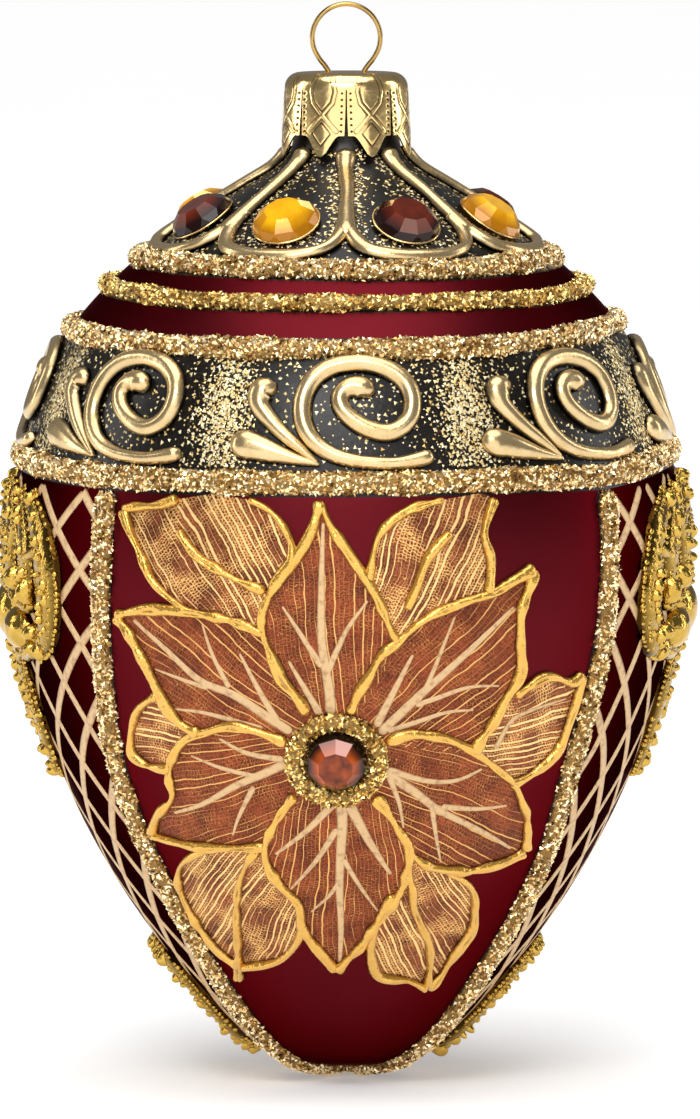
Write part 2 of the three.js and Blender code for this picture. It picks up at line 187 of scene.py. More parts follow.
def curve_through(points, per_span=24):
    """A smooth line through points, as many short steps"""
    knots = np.array(points, float)
    last = len(knots) - 1
    t = np.linspace(0, last, last * per_span + 1)
    i = np.minimum(t.astype(int), last - 1)
    w = (t - i)[:, None]
    before, start, end, after = (knots[np.clip(i + shift, 0, last)] for shift in (-1, 0, 1, 2))
    leave = (end - before) / 2
    arrive = (after - start) / 2
    return ((2 * start - 2 * end + leave + arrive) * w ** 3
            + (3 * end - 3 * start - 2 * leave - arrive) * w ** 2 + leave * w + start)


def distances(points):
    """Distance along a line at each of its points"""
    return np.concatenate([[0], np.cumsum(np.linalg.norm(np.diff(points, axis=0), axis=1))])


def at_distances(points, wanted):
    """Points of a line at given distances along it"""
    along = distances(points)
    return np.stack([np.interp(wanted, along, column) for column in points.T], axis=1)


def directions(points):
    """Which way a line runs at each of its points"""
    along = np.gradient(points, axis=0)
    return along / np.linalg.norm(along, axis=1)[:, None]


def between_knots(share, knots):
    """Values at even knots along a line, read at shares of its length"""
    return np.interp(share, np.linspace(0, 1, len(knots)), knots)


def spaced(count):
    """Even angles once round"""
    return np.linspace(0, TURN, count + 1)[:-1]


# How far the hand-laid trim wanders up from its level, in millimetres, at knots round the egg in degrees
DRIFT_TURNS = (-180, -120, -85, -60, -40, 0, 30, 50, 75, 90, 120, 180)
DRIFTS = {
    90.0: (0, 0, 0, 0, 0, 0, 0, 0, 0, 0, 0, 0),
    102.6: (0.5, 0.9, 1.2, 0.5, 0.2, 0.4, 0.4, 0.0, 1.6, 1.8, 1.0, 0.5),
    121.0: (0.5, 0.8, 1.2, 0.6, 0.4, 0.3, 0.4, 1.4, 2.3, 2.4, 1.4, 0.5),
    128.8: (0.3, 0.6, 1.0, 0.6, -0.2, -0.1, -0.1, -0.3, 0.6, 0.6, 0.4, 0.3),
    134.8: (0.3, 0.4, 0.6, 0.6, 0.5, 0, -0.2, 0.5, 0.7, 0.8, 0.5, 0.3),
    150.0: (0, 0, 0, 0, 0, 0, 0, 0, 0, 0, 0, 0),
}


def drift(turn, level):
    """How far a spot of the trim lies above its level"""
    degrees = (np.degrees(turn) + 180) % 360 - 180
    knots = list(DRIFTS)
    rows = [np.interp(degrees, DRIFT_TURNS, DRIFTS[knot]) for knot in knots]
    spread = [np.clip(1 - np.abs(level - knot) / np.where(level < knot, below, above), 0, 1)
              for knot, below, above in zip(knots, np.diff([0, *knots]), np.diff([*knots, 999]))]
    return sum(row * share for row, share in zip(rows, spread))


class Glass:
    """The outside of the glass, as a fine table by level"""
    PITCH = 0.1
    SMOOTHING = 1.2

    def __init__(self, outline):
        line = curve_through(outline, 200)
        self.level = np.arange(0, distances(line)[-1], self.PITCH)
        table = at_distances(line, self.level)
        reach = int(4 * self.SMOOTHING / self.PITCH)
        offsets = np.arange(-reach, reach + 1) * self.PITCH
        weights = np.exp(-0.5 * (offsets / self.SMOOTHING) ** 2)
        weights /= weights.sum()
        before = table[1:reach + 1][::-1] * (-1, 1)
        after = 2 * table[-1] - table[-reach - 1:-1][::-1]
        padded = np.vstack([before, table, after])
        smooth = [np.convolve(column, weights, "valid") for column in padded.T]
        self.radius = smooth[0] - smooth[0][0]
        self.height = smooth[1] - smooth[1][0]
        slope = np.stack([np.gradient(self.radius), np.gradient(self.height)])
        slope /= np.linalg.norm(slope, axis=0)
        self.out_radius = slope[1]
        self.out_height = -slope[0]

    def foot(self, level):
        """Radius of the glass at a level"""
        return np.interp(level, self.level, self.radius)

    def place(self, angle, across, level, lift=0.0):
        """Places on the glass in metres, in the part's frame"""
        turn = angle + across / np.maximum(self.foot(level), 1)
        level = level + drift(turn, level)
        radius = self.foot(level) + lift * np.interp(level, self.level, self.out_radius)
        height = np.interp(level, self.level, self.height) + lift * np.interp(level, self.level, self.out_height)
        return around(turn, radius, height)


def around(turn, radius, height):
    """Points at an angle from the front, a radius and a height above the tip, in metres"""
    spots = np.broadcast_arrays(radius * np.sin(turn), -radius * np.cos(turn), height)
    return np.stack(spots, axis=-1) * MM + (0, 0, TIP_HEIGHT)


GLASS = Glass(GLASS_OUTLINE)


# Meshes

def skin(rows, sides, closed=False):
    """Faces between rings of corners, as four corner numbers each"""
    i, j = np.meshgrid(np.arange(rows if closed else rows - 1), np.arange(sides), indexing="ij")
    ahead = (i + 1) % rows
    beside = (j + 1) % sides
    faces = np.stack([i * sides + j, i * sides + beside, ahead * sides + beside, ahead * sides + j], axis=-1)
    return faces.reshape(-1, 4)


def set_values(mesh, name, values, domain="POINT"):
    """Gives each corner or face of a mesh a named value"""
    layer = mesh.attributes.new(name, "FLOAT", domain)
    layer.data.foreach_set("value", np.asarray(values, np.float32))


class Shape:
    """Corners and faces gathered from many strokes, with named values at the corners"""

    def __init__(self):
        self.corners = []
        self.faces = []
        self.values = []
        self.count = 0

    def add(self, corners, faces, **values):
        """Adds corners, the faces between them and the corners' values"""
        self.corners.append(corners)
        self.faces += [[i + self.count for i in face] for face in faces]
        self.count += len(corners)
        self.values.append({name: np.broadcast_to(value, len(corners)) for name, value in values.items()})

    def add_rings(self, rings, closed=False, **values):
        """Skins a run of rings that have equally many corners, caps the ends of an open run, and turns the
        faces of a shell that is inside out"""
        runs, sides = rings.shape[:2]
        corners = rings.reshape(-1, 3)
        quads = skin(runs, sides, closed)
        a, b, c, d = (corners[quads[:, k]] - corners.mean(axis=0) for k in range(4))
        volume = np.einsum("ij,ij->", a, np.cross(b, c) + np.cross(c, d))
        faces = quads.tolist()
        if not closed:
            faces.append(list(range(sides))[::-1])
            faces.append(list(range((runs - 1) * sides, runs * sides)))
        if volume < 0:
            faces = [face[::-1] for face in faces]
        self.add(corners, faces, **values)

    def make(self, name, materials, smooth=True, sharp_angle=None, material_of_face=None):
        """Makes the gathered mesh an object at the origin"""
        mesh = bpy.data.meshes.new(name)
        mesh.from_pydata(np.concatenate(self.corners).tolist(), [], self.faces)
        for known in sorted(set().union(*self.values)):
            parts = [part.get(known, np.ones(len(spots))) for part, spots in zip(self.values, self.corners)]
            set_values(mesh, known, np.concatenate(parts))
        for material in materials:
            mesh.materials.append(material)
        if material_of_face is not None:
            mesh.polygons.foreach_set("material_index", material_of_face)
        mesh.polygons.foreach_set("use_smooth", [smooth] * len(mesh.polygons))
        if sharp_angle is not None:
            mesh.set_sharp_from_angle(angle=math.radians(sharp_angle))
        mesh.update()
        piece = bpy.data.objects.new(name, mesh)
        bpy.context.scene.collection.objects.link(piece)
        return piece


def keep(piece, slot, *nodes):
    """The piece rides on the egg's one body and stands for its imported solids"""
    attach(piece, "root")
    if nodes:
        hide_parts(*nodes)


# How a stroke is cut up and how often its hand-drawn unevenness changes, in millimetres along it
END_RINGS = 5
WOBBLE_PITCH = 1.6
SWAY_PITCH = 2.6
GROOVE_PITCH = 1.8
ON_GROUND = 0.01                    # a corner of a section that rises less than this lies on the ground


def even(t):
    """The profile of a stroke of one width"""
    return np.ones_like(t)


def squeezed(t):
    """The profile of a stroke of paste with a small blob at both ends"""
    return 1 + 0.3 * np.exp(-(np.minimum(t, 1 - t) / 0.05) ** 2)


def bead(shape, angle, line, width, height, profile=even, sides=10, step=0.45, sink=0.1, ground=0.0,
         wobble=0.0, sway=0.0, groove=0.0, rng=None):
    """Adds a half-round stroke of paste along a line of (across, level) points, starting off the ground that
    it lies on. Wobble is the unevenness of its width, as a share, and sway of its path, in millimetres; the
    groove is how far its crest sinks here and there, as a share of its height."""
    path = curve_through(line)
    length = distances(path)[-1]
    ends = np.minimum(width / 2 * profile(np.array([0.0, 1.0])), length / 2.2)
    turn = np.linspace(0.12, math.pi / 2, END_RINGS)
    start, finish = (end * (1 - np.cos(turn)) for end in ends)
    inner = np.linspace(ends[0], length - ends[1], max(2, int((length - ends.sum()) / step)))
    stations = np.concatenate([start[:-1], inner, length - finish[:-1][::-1]])
    run = stations / length
    closeness = np.minimum(stations / ends[0], (length - stations) / ends[1])
    rounding = np.sqrt(np.clip(1 - (1 - np.minimum(closeness, 1)) ** 2, 0.004, 1))
    spots = at_distances(path, stations)
    along = directions(spots)
    share = profile(run) * rounding
    if wobble:
        knots = rng.uniform(-wobble, wobble, max(3, int(length / WOBBLE_PITCH)))
        share = share * (1 + between_knots(run, knots))
    if sway:
        knots = rng.uniform(-sway, sway, max(4, int(length / SWAY_PITCH)))
        knots[[0, -1]] = 0
        off = curve_through(np.stack([np.arange(len(knots)), knots], axis=1), 12)
        off = np.interp(run * (len(knots) - 1), off[:, 0], off[:, 1])
        spots = spots + np.stack([along[:, 1], -along[:, 0]], axis=1) * off[:, None]
    swing = np.linspace(0, math.pi, sides)
    aside = width / 2 * share[:, None] * np.cos(swing)
    rise = np.broadcast_to(np.sin(swing), aside.shape)
    lift = height * np.sqrt(np.clip(share, 0, 1.3))[:, None] * rise * np.sqrt(rounding)[:, None]
    # The stored rise sets the gold materials' painted shade; a groove lowers it, so the groove is painted darker
    shade = rise
    if groove:
        count = max(4, int(length / GROOVE_PITCH))
        sunk = between_knots(run, rng.uniform(0, groove, count) * rng.integers(0, 2, count))
        dip = sunk[:, None] * np.exp(-(np.cos(swing) / 0.3) ** 2)
        lift = lift * (1 - dip)
        shade = rise * (1 - 1.3 * dip)
    across = spots[:, 0:1] + along[:, 1:2] * aside
    level = spots[:, 1:2] - along[:, 0:1] * aside
    rings = GLASS.place(angle, across, level, ground + lift - sink * (rise < ON_GROUND))
    shape.add_rings(rings, rise=shade.reshape(-1))


def film(shape, angle, outline, lift, centre):
    """Adds a patch of film inside an outline of (across, level) points. Its net runs out from a centre: each
    corner knows how far it lies along that line and aside of it."""
    edge_step, spacing = 0.8, 1.6
    axis = np.mean(outline, axis=0) - centre
    axis /= np.linalg.norm(axis)
    closed = np.array([*outline, outline[0]], float)
    edge = at_distances(closed, np.arange(0, distances(closed)[-1], edge_step))
    low, high = edge.min(axis=0), edge.max(axis=0)
    grid = np.stack(np.meshgrid(*(np.arange(low[k], high[k], spacing) for k in (0, 1))), axis=-1)
    corners = [Vector(spot) for spot in np.vstack([edge, grid.reshape(-1, 2)])]
    numbers = list(range(len(edge)))
    sides = list(zip(numbers, numbers[1:] + numbers[:1]))
    flat, _, faces, _, _, _ = delaunay_2d_cdt(corners, sides, [numbers], 1, 1e-5)
    flat = np.array([(v.x, v.y) for v in flat])
    shape.add(GLASS.place(angle, flat[:, 0], flat[:, 1], lift), faces, along=(flat - centre) @ axis,
              aside=(flat - centre) @ np.array((axis[1], -axis[0])))


# Nodes

def node(tree, kind, inputs=None, stops=None, **settings):
    """Adds a node with its settings; an input's value may be another node, for its first output, an output, or
    a colour in sRGB hex"""
    new = tree.nodes.new(kind)
    for name, value in settings.items():
        setattr(new, name, value)
    for name, value in (inputs or {}).items():
        if isinstance(value, bpy.types.Node):
            value = next(output for output in value.outputs if output.enabled)
        if isinstance(value, str) and value.startswith("#"):
            value = linear(value)
        if isinstance(value, bpy.types.NodeSocket):
            tree.links.new(value, new.inputs[name])
        else:
            new.inputs[name].default_value = value
    if stops:
        ramp = new.color_ramp
        while len(ramp.elements) < len(stops):
            ramp.elements.new(0.5)
        for element, (position, hex_colour) in zip(ramp.elements, stops):
            element.position = position
            element.color = linear(hex_colour)
    return new


def start_material(name):
    """A new material with an empty node tree"""
    made = bpy.data.materials.new(name)
    made.use_nodes = True
    made.node_tree.nodes.clear()
    return made, made.node_tree


SOCKETS = {float: "NodeSocketFloat", int: "NodeSocketInt", bool: "NodeSocketBool"}


def start_geometry_tree(name, inputs):
    """A new geometry tree with a material and other named inputs, given with their defaults"""
    tree = bpy.data.node_groups.new(name, "GeometryNodeTree")
    tree.interface.new_socket("Geometry", in_out="INPUT", socket_type="NodeSocketGeometry")
    for input_name, default in inputs.items():
        socket = tree.interface.new_socket(input_name, in_out="INPUT", socket_type=SOCKETS[type(default)])
        socket.default_value = default
    tree.interface.new_socket("Material", in_out="INPUT", socket_type="NodeSocketMaterial")
    tree.interface.new_socket("Geometry", in_out="OUTPUT", socket_type="NodeSocketGeometry")
    return tree, node(tree, "NodeGroupInput").outputs


def run_tree(piece, tree, **values):
    """Turns an object's mesh into what a geometry tree makes of it, with the tree's inputs set by name"""
    modifier = piece.modifiers.new(tree.name, "NODES")
    modifier.node_group = tree
    for item in tree.interface.items_tree:
        key = item.name.replace(" ", "_").lower()
        if item.in_out == "INPUT" and key in values:
            modifier[item.identifier] = values[key]
    depsgraph = bpy.context.evaluated_depsgraph_get()
    made = bpy.data.meshes.new_from_object(piece.evaluated_get(depsgraph), depsgraph=depsgraph)
    piece.modifiers.remove(modifier)
    made.name = piece.name
    old = piece.data
    piece.data = made
    bpy.data.meshes.remove(old)
    return piece


def scatter_tree(name):
    """Grains scattered over a mesh as thickly as its `amount` says, each with a tone of its own; the mesh
    under them stays where Keep base is on"""
    tree, given = start_geometry_tree(name, {"Density": 1e6, "Grain": 0.5 * MM, "Flatness": 0.6, "Spread": 0.35,
                                             "Tilt": 0.8, "Seed": SEED, "Keep base": True})
    amount = node(tree, "GeometryNodeInputNamedAttribute", {"Name": "amount"}, data_type="FLOAT")
    density = node(tree, "ShaderNodeMath", {0: given["Density"], 1: amount}, operation="MULTIPLY")
    points = node(tree, "GeometryNodeDistributePointsOnFaces", {
        "Mesh": given["Geometry"], "Density": density, "Seed": given["Seed"]})
    less_tilt = node(tree, "ShaderNodeMath", {0: given["Tilt"], 1: -1.0}, operation="MULTIPLY")
    lowest = node(tree, "ShaderNodeCombineXYZ", {"X": less_tilt, "Y": less_tilt, "Z": 0.0})
    highest = node(tree, "ShaderNodeCombineXYZ", {"X": given["Tilt"], "Y": given["Tilt"], "Z": TURN})
    lean = node(tree, "FunctionNodeRandomValue", {0: lowest, 1: highest, "Seed": given["Seed"]},
                data_type="FLOAT_VECTOR")
    rotation = node(tree, "FunctionNodeRotateRotation", {
        "Rotation": points.outputs["Rotation"],
        "Rotate By": node(tree, "FunctionNodeEulerToRotation", {0: lean})}, rotation_space="LOCAL")
    smallest, largest = (node(tree, "ShaderNodeMath", {0: 1.0, 1: given["Spread"]}, operation=operation)
                         for operation in ("SUBTRACT", "ADD"))
    size_seed, tone_seed = (node(tree, "ShaderNodeMath", {0: given["Seed"], 1: more}, operation="ADD")
                            for more in (11.0, 23.0))
    size = node(tree, "FunctionNodeRandomValue", {2: smallest, 3: largest, "Seed": size_seed}, data_type="FLOAT")
    proportions = node(tree, "ShaderNodeCombineXYZ", {"X": 1.0, "Y": 0.8, "Z": given["Flatness"]})
    scale = node(tree, "ShaderNodeVectorMath", {0: proportions, "Scale": size}, operation="SCALE")
    half = node(tree, "ShaderNodeMath", {0: given["Grain"], 1: 0.5}, operation="MULTIPLY")
    grain = node(tree, "GeometryNodeMeshUVSphere", {"Radius": half, "Segments": 3, "Rings": 2})
    placed = node(tree, "GeometryNodeInstanceOnPoints", {
        "Points": points, "Instance": grain, "Rotation": rotation, "Scale": scale})
    tone = node(tree, "FunctionNodeRandomValue", {2: 0.0, 3: 1.0, "Seed": tone_seed}, data_type="FLOAT")
    toned = node(tree, "GeometryNodeStoreNamedAttribute", {"Geometry": placed, "Name": "tone", "Value": tone},
                 data_type="FLOAT", domain="INSTANCE")
    solid = node(tree, "GeometryNodeRealizeInstances", {"Geometry": toned})
    finished = node(tree, "GeometryNodeSetMaterial", {"Geometry": solid, "Material": given["Material"]})
    base = node(tree, "GeometryNodeSwitch", {"Switch": given["Keep base"], "True": given["Geometry"]},
                input_type="GEOMETRY")
    both = node(tree, "GeometryNodeJoinGeometry")
    for part in (base, finished):
        tree.links.new(part.outputs[0], both.inputs[0])
    node(tree, "NodeGroupOutput", {"Geometry": both})
    return tree


def around_tree():
    """One mesh repeated around the upright axis"""
    tree, given = start_geometry_tree("repeat around the axis", {"Count": REPEATS, "First": 0.0, "Step": STEP})
    points = node(tree, "GeometryNodePoints", {"Count": given["Count"]})
    index = node(tree, "GeometryNodeInputIndex")
    turn = node(tree, "ShaderNodeMath", {0: index, 1: given["Step"], 2: given["First"]}, operation="MULTIPLY_ADD")
    euler = node(tree, "ShaderNodeCombineXYZ", {"X": 0.0, "Y": 0.0, "Z": turn})
    rotation = node(tree, "FunctionNodeEulerToRotation", {0: euler})
    placed = node(tree, "GeometryNodeInstanceOnPoints", {
        "Points": points, "Instance": given["Geometry"], "Rotation": rotation})
    solid = node(tree, "GeometryNodeRealizeInstances", {"Geometry": placed})
    finished = node(tree, "GeometryNodeSetMaterial", {"Geometry": solid, "Material": given["Material"]})
    node(tree, "NodeGroupOutput", {"Geometry": finished})
    return tree


# Materials

def per_mm(size):
    """The scale of a pattern whose features are as wide as a size in millimetres"""
    return 1 / (size * MM)


def mottled(tree, first, second, width, detail=2.0, span=None):
    """Two colours that pass into each other in patches of a width in millimetres, where the patches' noise
    passes through a span of its values; gives the noise and the colour"""
    places = node(tree, "ShaderNodeTexCoord").outputs["Object"]
    noise = node(tree, "ShaderNodeTexNoise", {"Vector": places, "Scale": per_mm(width), "Detail": detail})
    share = noise
    if span:
        share = node(tree, "ShaderNodeMapRange", {"Value": noise, "From Min": span[0], "From Max": span[1]})
    return noise, node(tree, "ShaderNodeMix", {0: share, 6: first, 7: second}, data_type="RGBA")


def changed(tree, colour, other, attribute, start, end, noise=None, uneven=0.0, **settings):
    """A colour that gives way to another as an attribute of the mesh passes from a start to an end, which a
    noise makes uneven"""
    value = node(tree, "ShaderNodeAttribute", attribute_name=attribute).outputs["Fac"]
    if noise:
        shift = node(tree, "ShaderNodeMath", {0: noise, 1: uneven, 2: -uneven / 2}, operation="MULTIPLY_ADD")
        value = node(tree, "ShaderNodeMath", {0: value, 1: shift}, operation="ADD")
    share = node(tree, "ShaderNodeMapRange", {"Value": value, "From Min": start, "From Max": end}, **settings)
    return node(tree, "ShaderNodeMix", {0: share, 6: colour, 7: other}, data_type="RGBA")


def end_material(made, sockets, bump=None, depth=0.0):
    """The surface of a material. Its bump follows a node, or a noise of a width in millimetres, and is a given
    depth in millimetres."""
    tree = made.node_tree
    if isinstance(bump, float):
        places = node(tree, "ShaderNodeTexCoord").outputs["Object"]
        bump = node(tree, "ShaderNodeTexNoise", {"Vector": places, "Scale": per_mm(bump)})
    if bump:
        sockets["Normal"] = node(tree, "ShaderNodeBump", {"Height": bump, "Distance": depth * MM})
    shader = node(tree, "ShaderNodeBsdfPrincipled", sockets)
    node(tree, "ShaderNodeOutputMaterial", {"Surface": shader})
    return made


def burgundy_lacquer(colours):
    """Matte lacquer sprayed over silvered blown glass: a deep red with a broad, metallic sheen; the side panels
    are darker, at about a third of its colour"""
    made, tree = start_material("satin_burgundy_lacquer")
    darker, wine = ([c * share for c in colours.lacquer[:3]] + [1.0] for share in (0.75, 0.36))
    _, sprayed = mottled(tree, colours.lacquer, darker, 14)
    colour = changed(tree, sprayed, wine, "side", 0.0, 1.0)
    return end_material(made, {"Base Color": colour, "Metallic": 1.0, "Roughness": 0.4,
                               "Specular Tint": "#7a3a44"}, 0.4, 0.006)


def black_enamel(colours):
    """Satin black enamel with a haze of fine gold, thickest where the flecks are, and faint brush marks"""
    made, tree = start_material("black_enamel")
    places = node(tree, "ShaderNodeTexCoord").outputs["Object"]
    fine = node(tree, "ShaderNodeTexNoise", {"Vector": places, "Scale": per_mm(0.3)})
    speckle = node(tree, "ShaderNodeMapRange", {"Value": fine, "From Min": 0.55, "From Max": 0.66})
    dust = node(tree, "ShaderNodeAttribute", attribute_name="dust").outputs["Fac"]
    haze = node(tree, "ShaderNodeMath", {0: dust, 1: speckle}, operation="MULTIPLY")
    colour = node(tree, "ShaderNodeMix", {0: haze, 6: colours.enamel, 7: "#8a6e44"}, data_type="RGBA")
    clouds = node(tree, "ShaderNodeTexNoise", {"Vector": places, "Scale": per_mm(6)})
    roughness = node(tree, "ShaderNodeMapRange", {"Value": clouds, "To Min": 0.22, "To Max": 0.42})
    marks = node(tree, "ShaderNodeTexNoise", {"Vector": places, "Scale": per_mm(0.8), "Detail": 3.0})
    return end_material(made, {"Base Color": colour, "Roughness": roughness, "Metallic": haze,
                               "Specular IOR Level": 0.3}, marks, 0.03)


def silvering():
    """The mirror silver inside blown glass, dulled to grey where it is seen through the neck"""
    made, tree = start_material("silvered_inside")
    _, colour = mottled(tree, "#b9b9b4", "#8e8c86", 5)
    return end_material(made, {"Base Color": colour, "Metallic": 1.0, "Roughness": 0.35})


def cap_gold(colours):
    """Thin stamped metal, gold plated and polished, with painted shade: dark brown in its stamped lines and dots
    """
    made, tree = start_material("stamped_gold")
    smudges, clean = mottled(tree, colours.cap, "#f0c67c", 3.5, 3.0)
    # Painted shade: dark brown where the stamped relief sinks in
    colour = changed(tree, clean, "#4a2c10", "relief", -0.25, -0.85)
    roughness = node(tree, "ShaderNodeMapRange", {"Value": smudges, "To Min": 0.12, "To Max": 0.3})
    return end_material(made, {"Base Color": colour, "Metallic": 1.0, "Roughness": roughness}, 2.4, 0.12)


def wire_gold():
    """Drawn brass wire under thin gold plating: a bright line along a darker, slightly green edge"""
    made, tree = start_material("drawn_gold_wire")
    _, colour = mottled(tree, "#c2a262", "#8f7240", 2)
    return end_material(made, {"Base Color": colour, "Metallic": 1.0, "Roughness": 0.22}, 0.3, 0.008)


def antique_gold(colours):
    """Champagne gold paint on raised resin that turns near black down each stroke's sides to its foot: black
    rubbed in along the foot, and painted shade
    """
    made, tree = start_material("antique_gold_piping")
    patina, worn = mottled(tree, colours.antique, "#c2a26e", 2.2, 4.0)
    # Painted shade: near black where the rise is low, on the sides and foot of a stroke
    colour = changed(tree, worn, "#150d06", "rise", 0.66, 0.25, patina, 0.4, interpolation_type="SMOOTHSTEP")
    roughness = node(tree, "ShaderNodeMapRange", {"Value": patina, "To Min": 0.2, "To Max": 0.32})
    return end_material(made, {"Base Color": colour, "Metallic": 0.9, "Roughness": roughness}, 0.9, 0.03)


def gold_paste(colours):
    """Thick yellow-gold relief paste squeezed from a tube: glossy on the crest, with painted shade in brown along
    its foot and in its grooves
    """
    made, tree = start_material("gold_relief_paste")
    cloud, fresh = mottled(tree, colours.paste, "#d09a38", 1.6, 3.0)
    # Painted shade: brown where the rise is low, at the foot and in the grooves
    colour = changed(tree, fresh, "#5c3008", "rise", 0.62, 0.12, cloud, 0.7)
    return end_material(made, {"Base Color": colour, "Metallic": 0.75, "Roughness": 0.24, "Coat Weight": 0.7,
                               "Coat Roughness": 0.08}, 0.8, 0.2)


def pale_gold_paint(colours):
    """Flat pale-gold paint laid on with a fine brush, streaky and a little worn"""
    made, tree = start_material("pale_gold_paint")
    streaks, colour = mottled(tree, colours.pale_gold, "#9c7048", 0.8, 4.0, span=(0.5, 0.8))
    return end_material(made, {"Base Color": colour, "Metallic": 0.2, "Roughness": 0.45}, streaks, 0.02)


def vein_net(tree, spacing, width, ties):
    """The net printed on a petal: veins that run along it and a ladder of finer ties between them, as two
    nodes that are 1 on them"""
    along, aside = (node(tree, "ShaderNodeAttribute", attribute_name=name).outputs["Fac"]
                    for name in ("along", "aside"))
    flat = node(tree, "ShaderNodeCombineXYZ", {"X": along, "Y": aside, "Z": 0.0})
    reach = node(tree, "ShaderNodeMath", {0: along, 1: 30.0}, operation="ADD")
    slope = node(tree, "ShaderNodeMath", {0: aside, 1: reach}, operation="DIVIDE")
    sway = node(tree, "ShaderNodeTexNoise", {"Vector": flat, "Scale": 0.09, "Detail": 5.0, "Roughness": 0.48})
    fanned = node(tree, "ShaderNodeMath", {0: slope, 1: 45 / spacing}, operation="MULTIPLY")
    line = node(tree, "ShaderNodeMath", {0: sway, 1: 2.4 / spacing, 2: fanned}, operation="MULTIPLY_ADD")
    from_vein = node(tree, "ShaderNodeMath", {0: line, 1: 0.5}, operation="PINGPONG")
    number = node(tree, "ShaderNodeMath", {0: line}, operation="ROUND")
    own = node(tree, "ShaderNodeTexWhiteNoise", {"W": number}, noise_dimensions="1D").outputs["Value"]
    stretched = node(tree, "ShaderNodeCombineXYZ", {
        "X": node(tree, "ShaderNodeMath", {0: along, 1: 0.25}, operation="MULTIPLY"),
        "Y": node(tree, "ShaderNodeMath", {0: number, 1: 3.7}, operation="MULTIPLY"), "Z": 0.0})
    strength = node(tree, "ShaderNodeTexNoise", {"Vector": stretched, "Scale": 1.0, "Detail": 2.0})
    wide = node(tree, "ShaderNodeMapRange", {
        "Value": node(tree, "ShaderNodeMath", {0: strength, 1: own}, operation="ADD"),
        "From Min": 0.6, "From Max": 1.3, "To Min": 0.06 * width / spacing, "To Max": 0.5 * width / spacing})
    veins = node(tree, "ShaderNodeMath", {0: from_vein, 1: wide}, operation="LESS_THAN")

    lane = node(tree, "ShaderNodeMath", {
        0: node(tree, "ShaderNodeMath", {0: line, 1: 2.0}, operation="MULTIPLY")}, operation="FLOOR")
    jump = node(tree, "ShaderNodeTexWhiteNoise", {"W": lane}, noise_dimensions="1D").outputs["Value"]
    wander = node(tree, "ShaderNodeTexNoise", {"Vector": flat, "Scale": 1.4})
    rung = node(tree, "ShaderNodeMath", {0: along, 1: 2.4, 2: jump}, operation="MULTIPLY_ADD")
    rung = node(tree, "ShaderNodeMath", {0: wander, 1: 2.5, 2: rung}, operation="MULTIPLY_ADD")
    from_rung = node(tree, "ShaderNodeMath", {0: rung, 1: 0.5}, operation="PINGPONG")
    lace = node(tree, "ShaderNodeTexNoise", {"Vector": flat, "Scale": 0.28, "Detail": 2.0})
    tie_width = node(tree, "ShaderNodeMapRange", {
        "Value": lace, "From Min": 0.42, "From Max": 0.66, "To Min": 0.02, "To Max": ties})
    rungs = node(tree, "ShaderNodeMath", {0: from_rung, 1: tie_width}, operation="LESS_THAN")
    halfway = node(tree, "ShaderNodeMath", {0: 0.5, 1: from_vein}, operation="SUBTRACT")
    tie_end = node(tree, "ShaderNodeMath", {0: tie_width, 1: 0.28}, operation="MULTIPLY")
    between = node(tree, "ShaderNodeMath", {0: halfway, 1: tie_end}, operation="LESS_THAN")
    return veins, node(tree, "ShaderNodeMath", {0: rungs, 1: between}, operation="MAXIMUM")


def petal_film(name, deep, warm, vein_colour, tie_colour, spacing, width, ties):
    """Copper leaf film under varnish, printed with a net of gold; the real veins are about 0.1 mm wide and are
    drawn a little wider to show"""
    made, tree = start_material(name)
    veins, fine_net = vein_net(tree, spacing, width, ties)
    patches, leaf = mottled(tree, deep, warm, 4, 3.0, span=(0.36, 0.64))
    places = node(tree, "ShaderNodeTexCoord").outputs["Object"]
    fine = node(tree, "ShaderNodeTexNoise", {"Vector": places, "Scale": per_mm(0.3)})
    specks = node(tree, "ShaderNodeMapRange", {"Value": fine, "From Min": 0.48, "From Max": 0.6, "To Max": 0.65})
    colour = leaf
    for share, other in ((specks, "#3a140a"), (fine_net, tie_colour), (veins, vein_colour)):
        colour = node(tree, "ShaderNodeMix", {0: share, 6: colour, 7: other}, data_type="RGBA")
    roughness = node(tree, "ShaderNodeMapRange", {"Value": patches, "To Min": 0.36, "To Max": 0.52})
    return end_material(made, {"Base Color": colour, "Metallic": 0.6, "Roughness": roughness,
                               "Specular IOR Level": 0.3}, veins, 0.03)


def glitter(name, tint, tones, metallic=0.8):
    """Coarse metal glitter: hard little facets, each with a random tone from a ramp; its near-white tones are
    painted glints, and its dark brown ones, where it has them, painted shade
    """
    made, tree = start_material(name)
    own = node(tree, "ShaderNodeAttribute", attribute_name="tone").outputs["Fac"]
    tone = node(tree, "ShaderNodeValToRGB", {"Fac": own}, stops=tones)
    colour = node(tree, "ShaderNodeMix", {0: 1.0, 6: tone, 7: tint}, data_type="RGBA", blend_type="MULTIPLY")
    return end_material(made, {"Base Color": colour, "Metallic": metallic, "Roughness": 0.25})


def glue_gold():
    """The glue that the glitter is set in, mottled from dark brown to gold; its dark brown is painted shade in
    the gaps between the grains
    """
    made, tree = start_material("glitter_glue")
    lumps, colour = mottled(tree, "#3a2610", "#b08844", 0.5)
    return end_material(made, {"Base Color": colour, "Metallic": 0.6, "Roughness": 0.4}, lumps, 0.15)


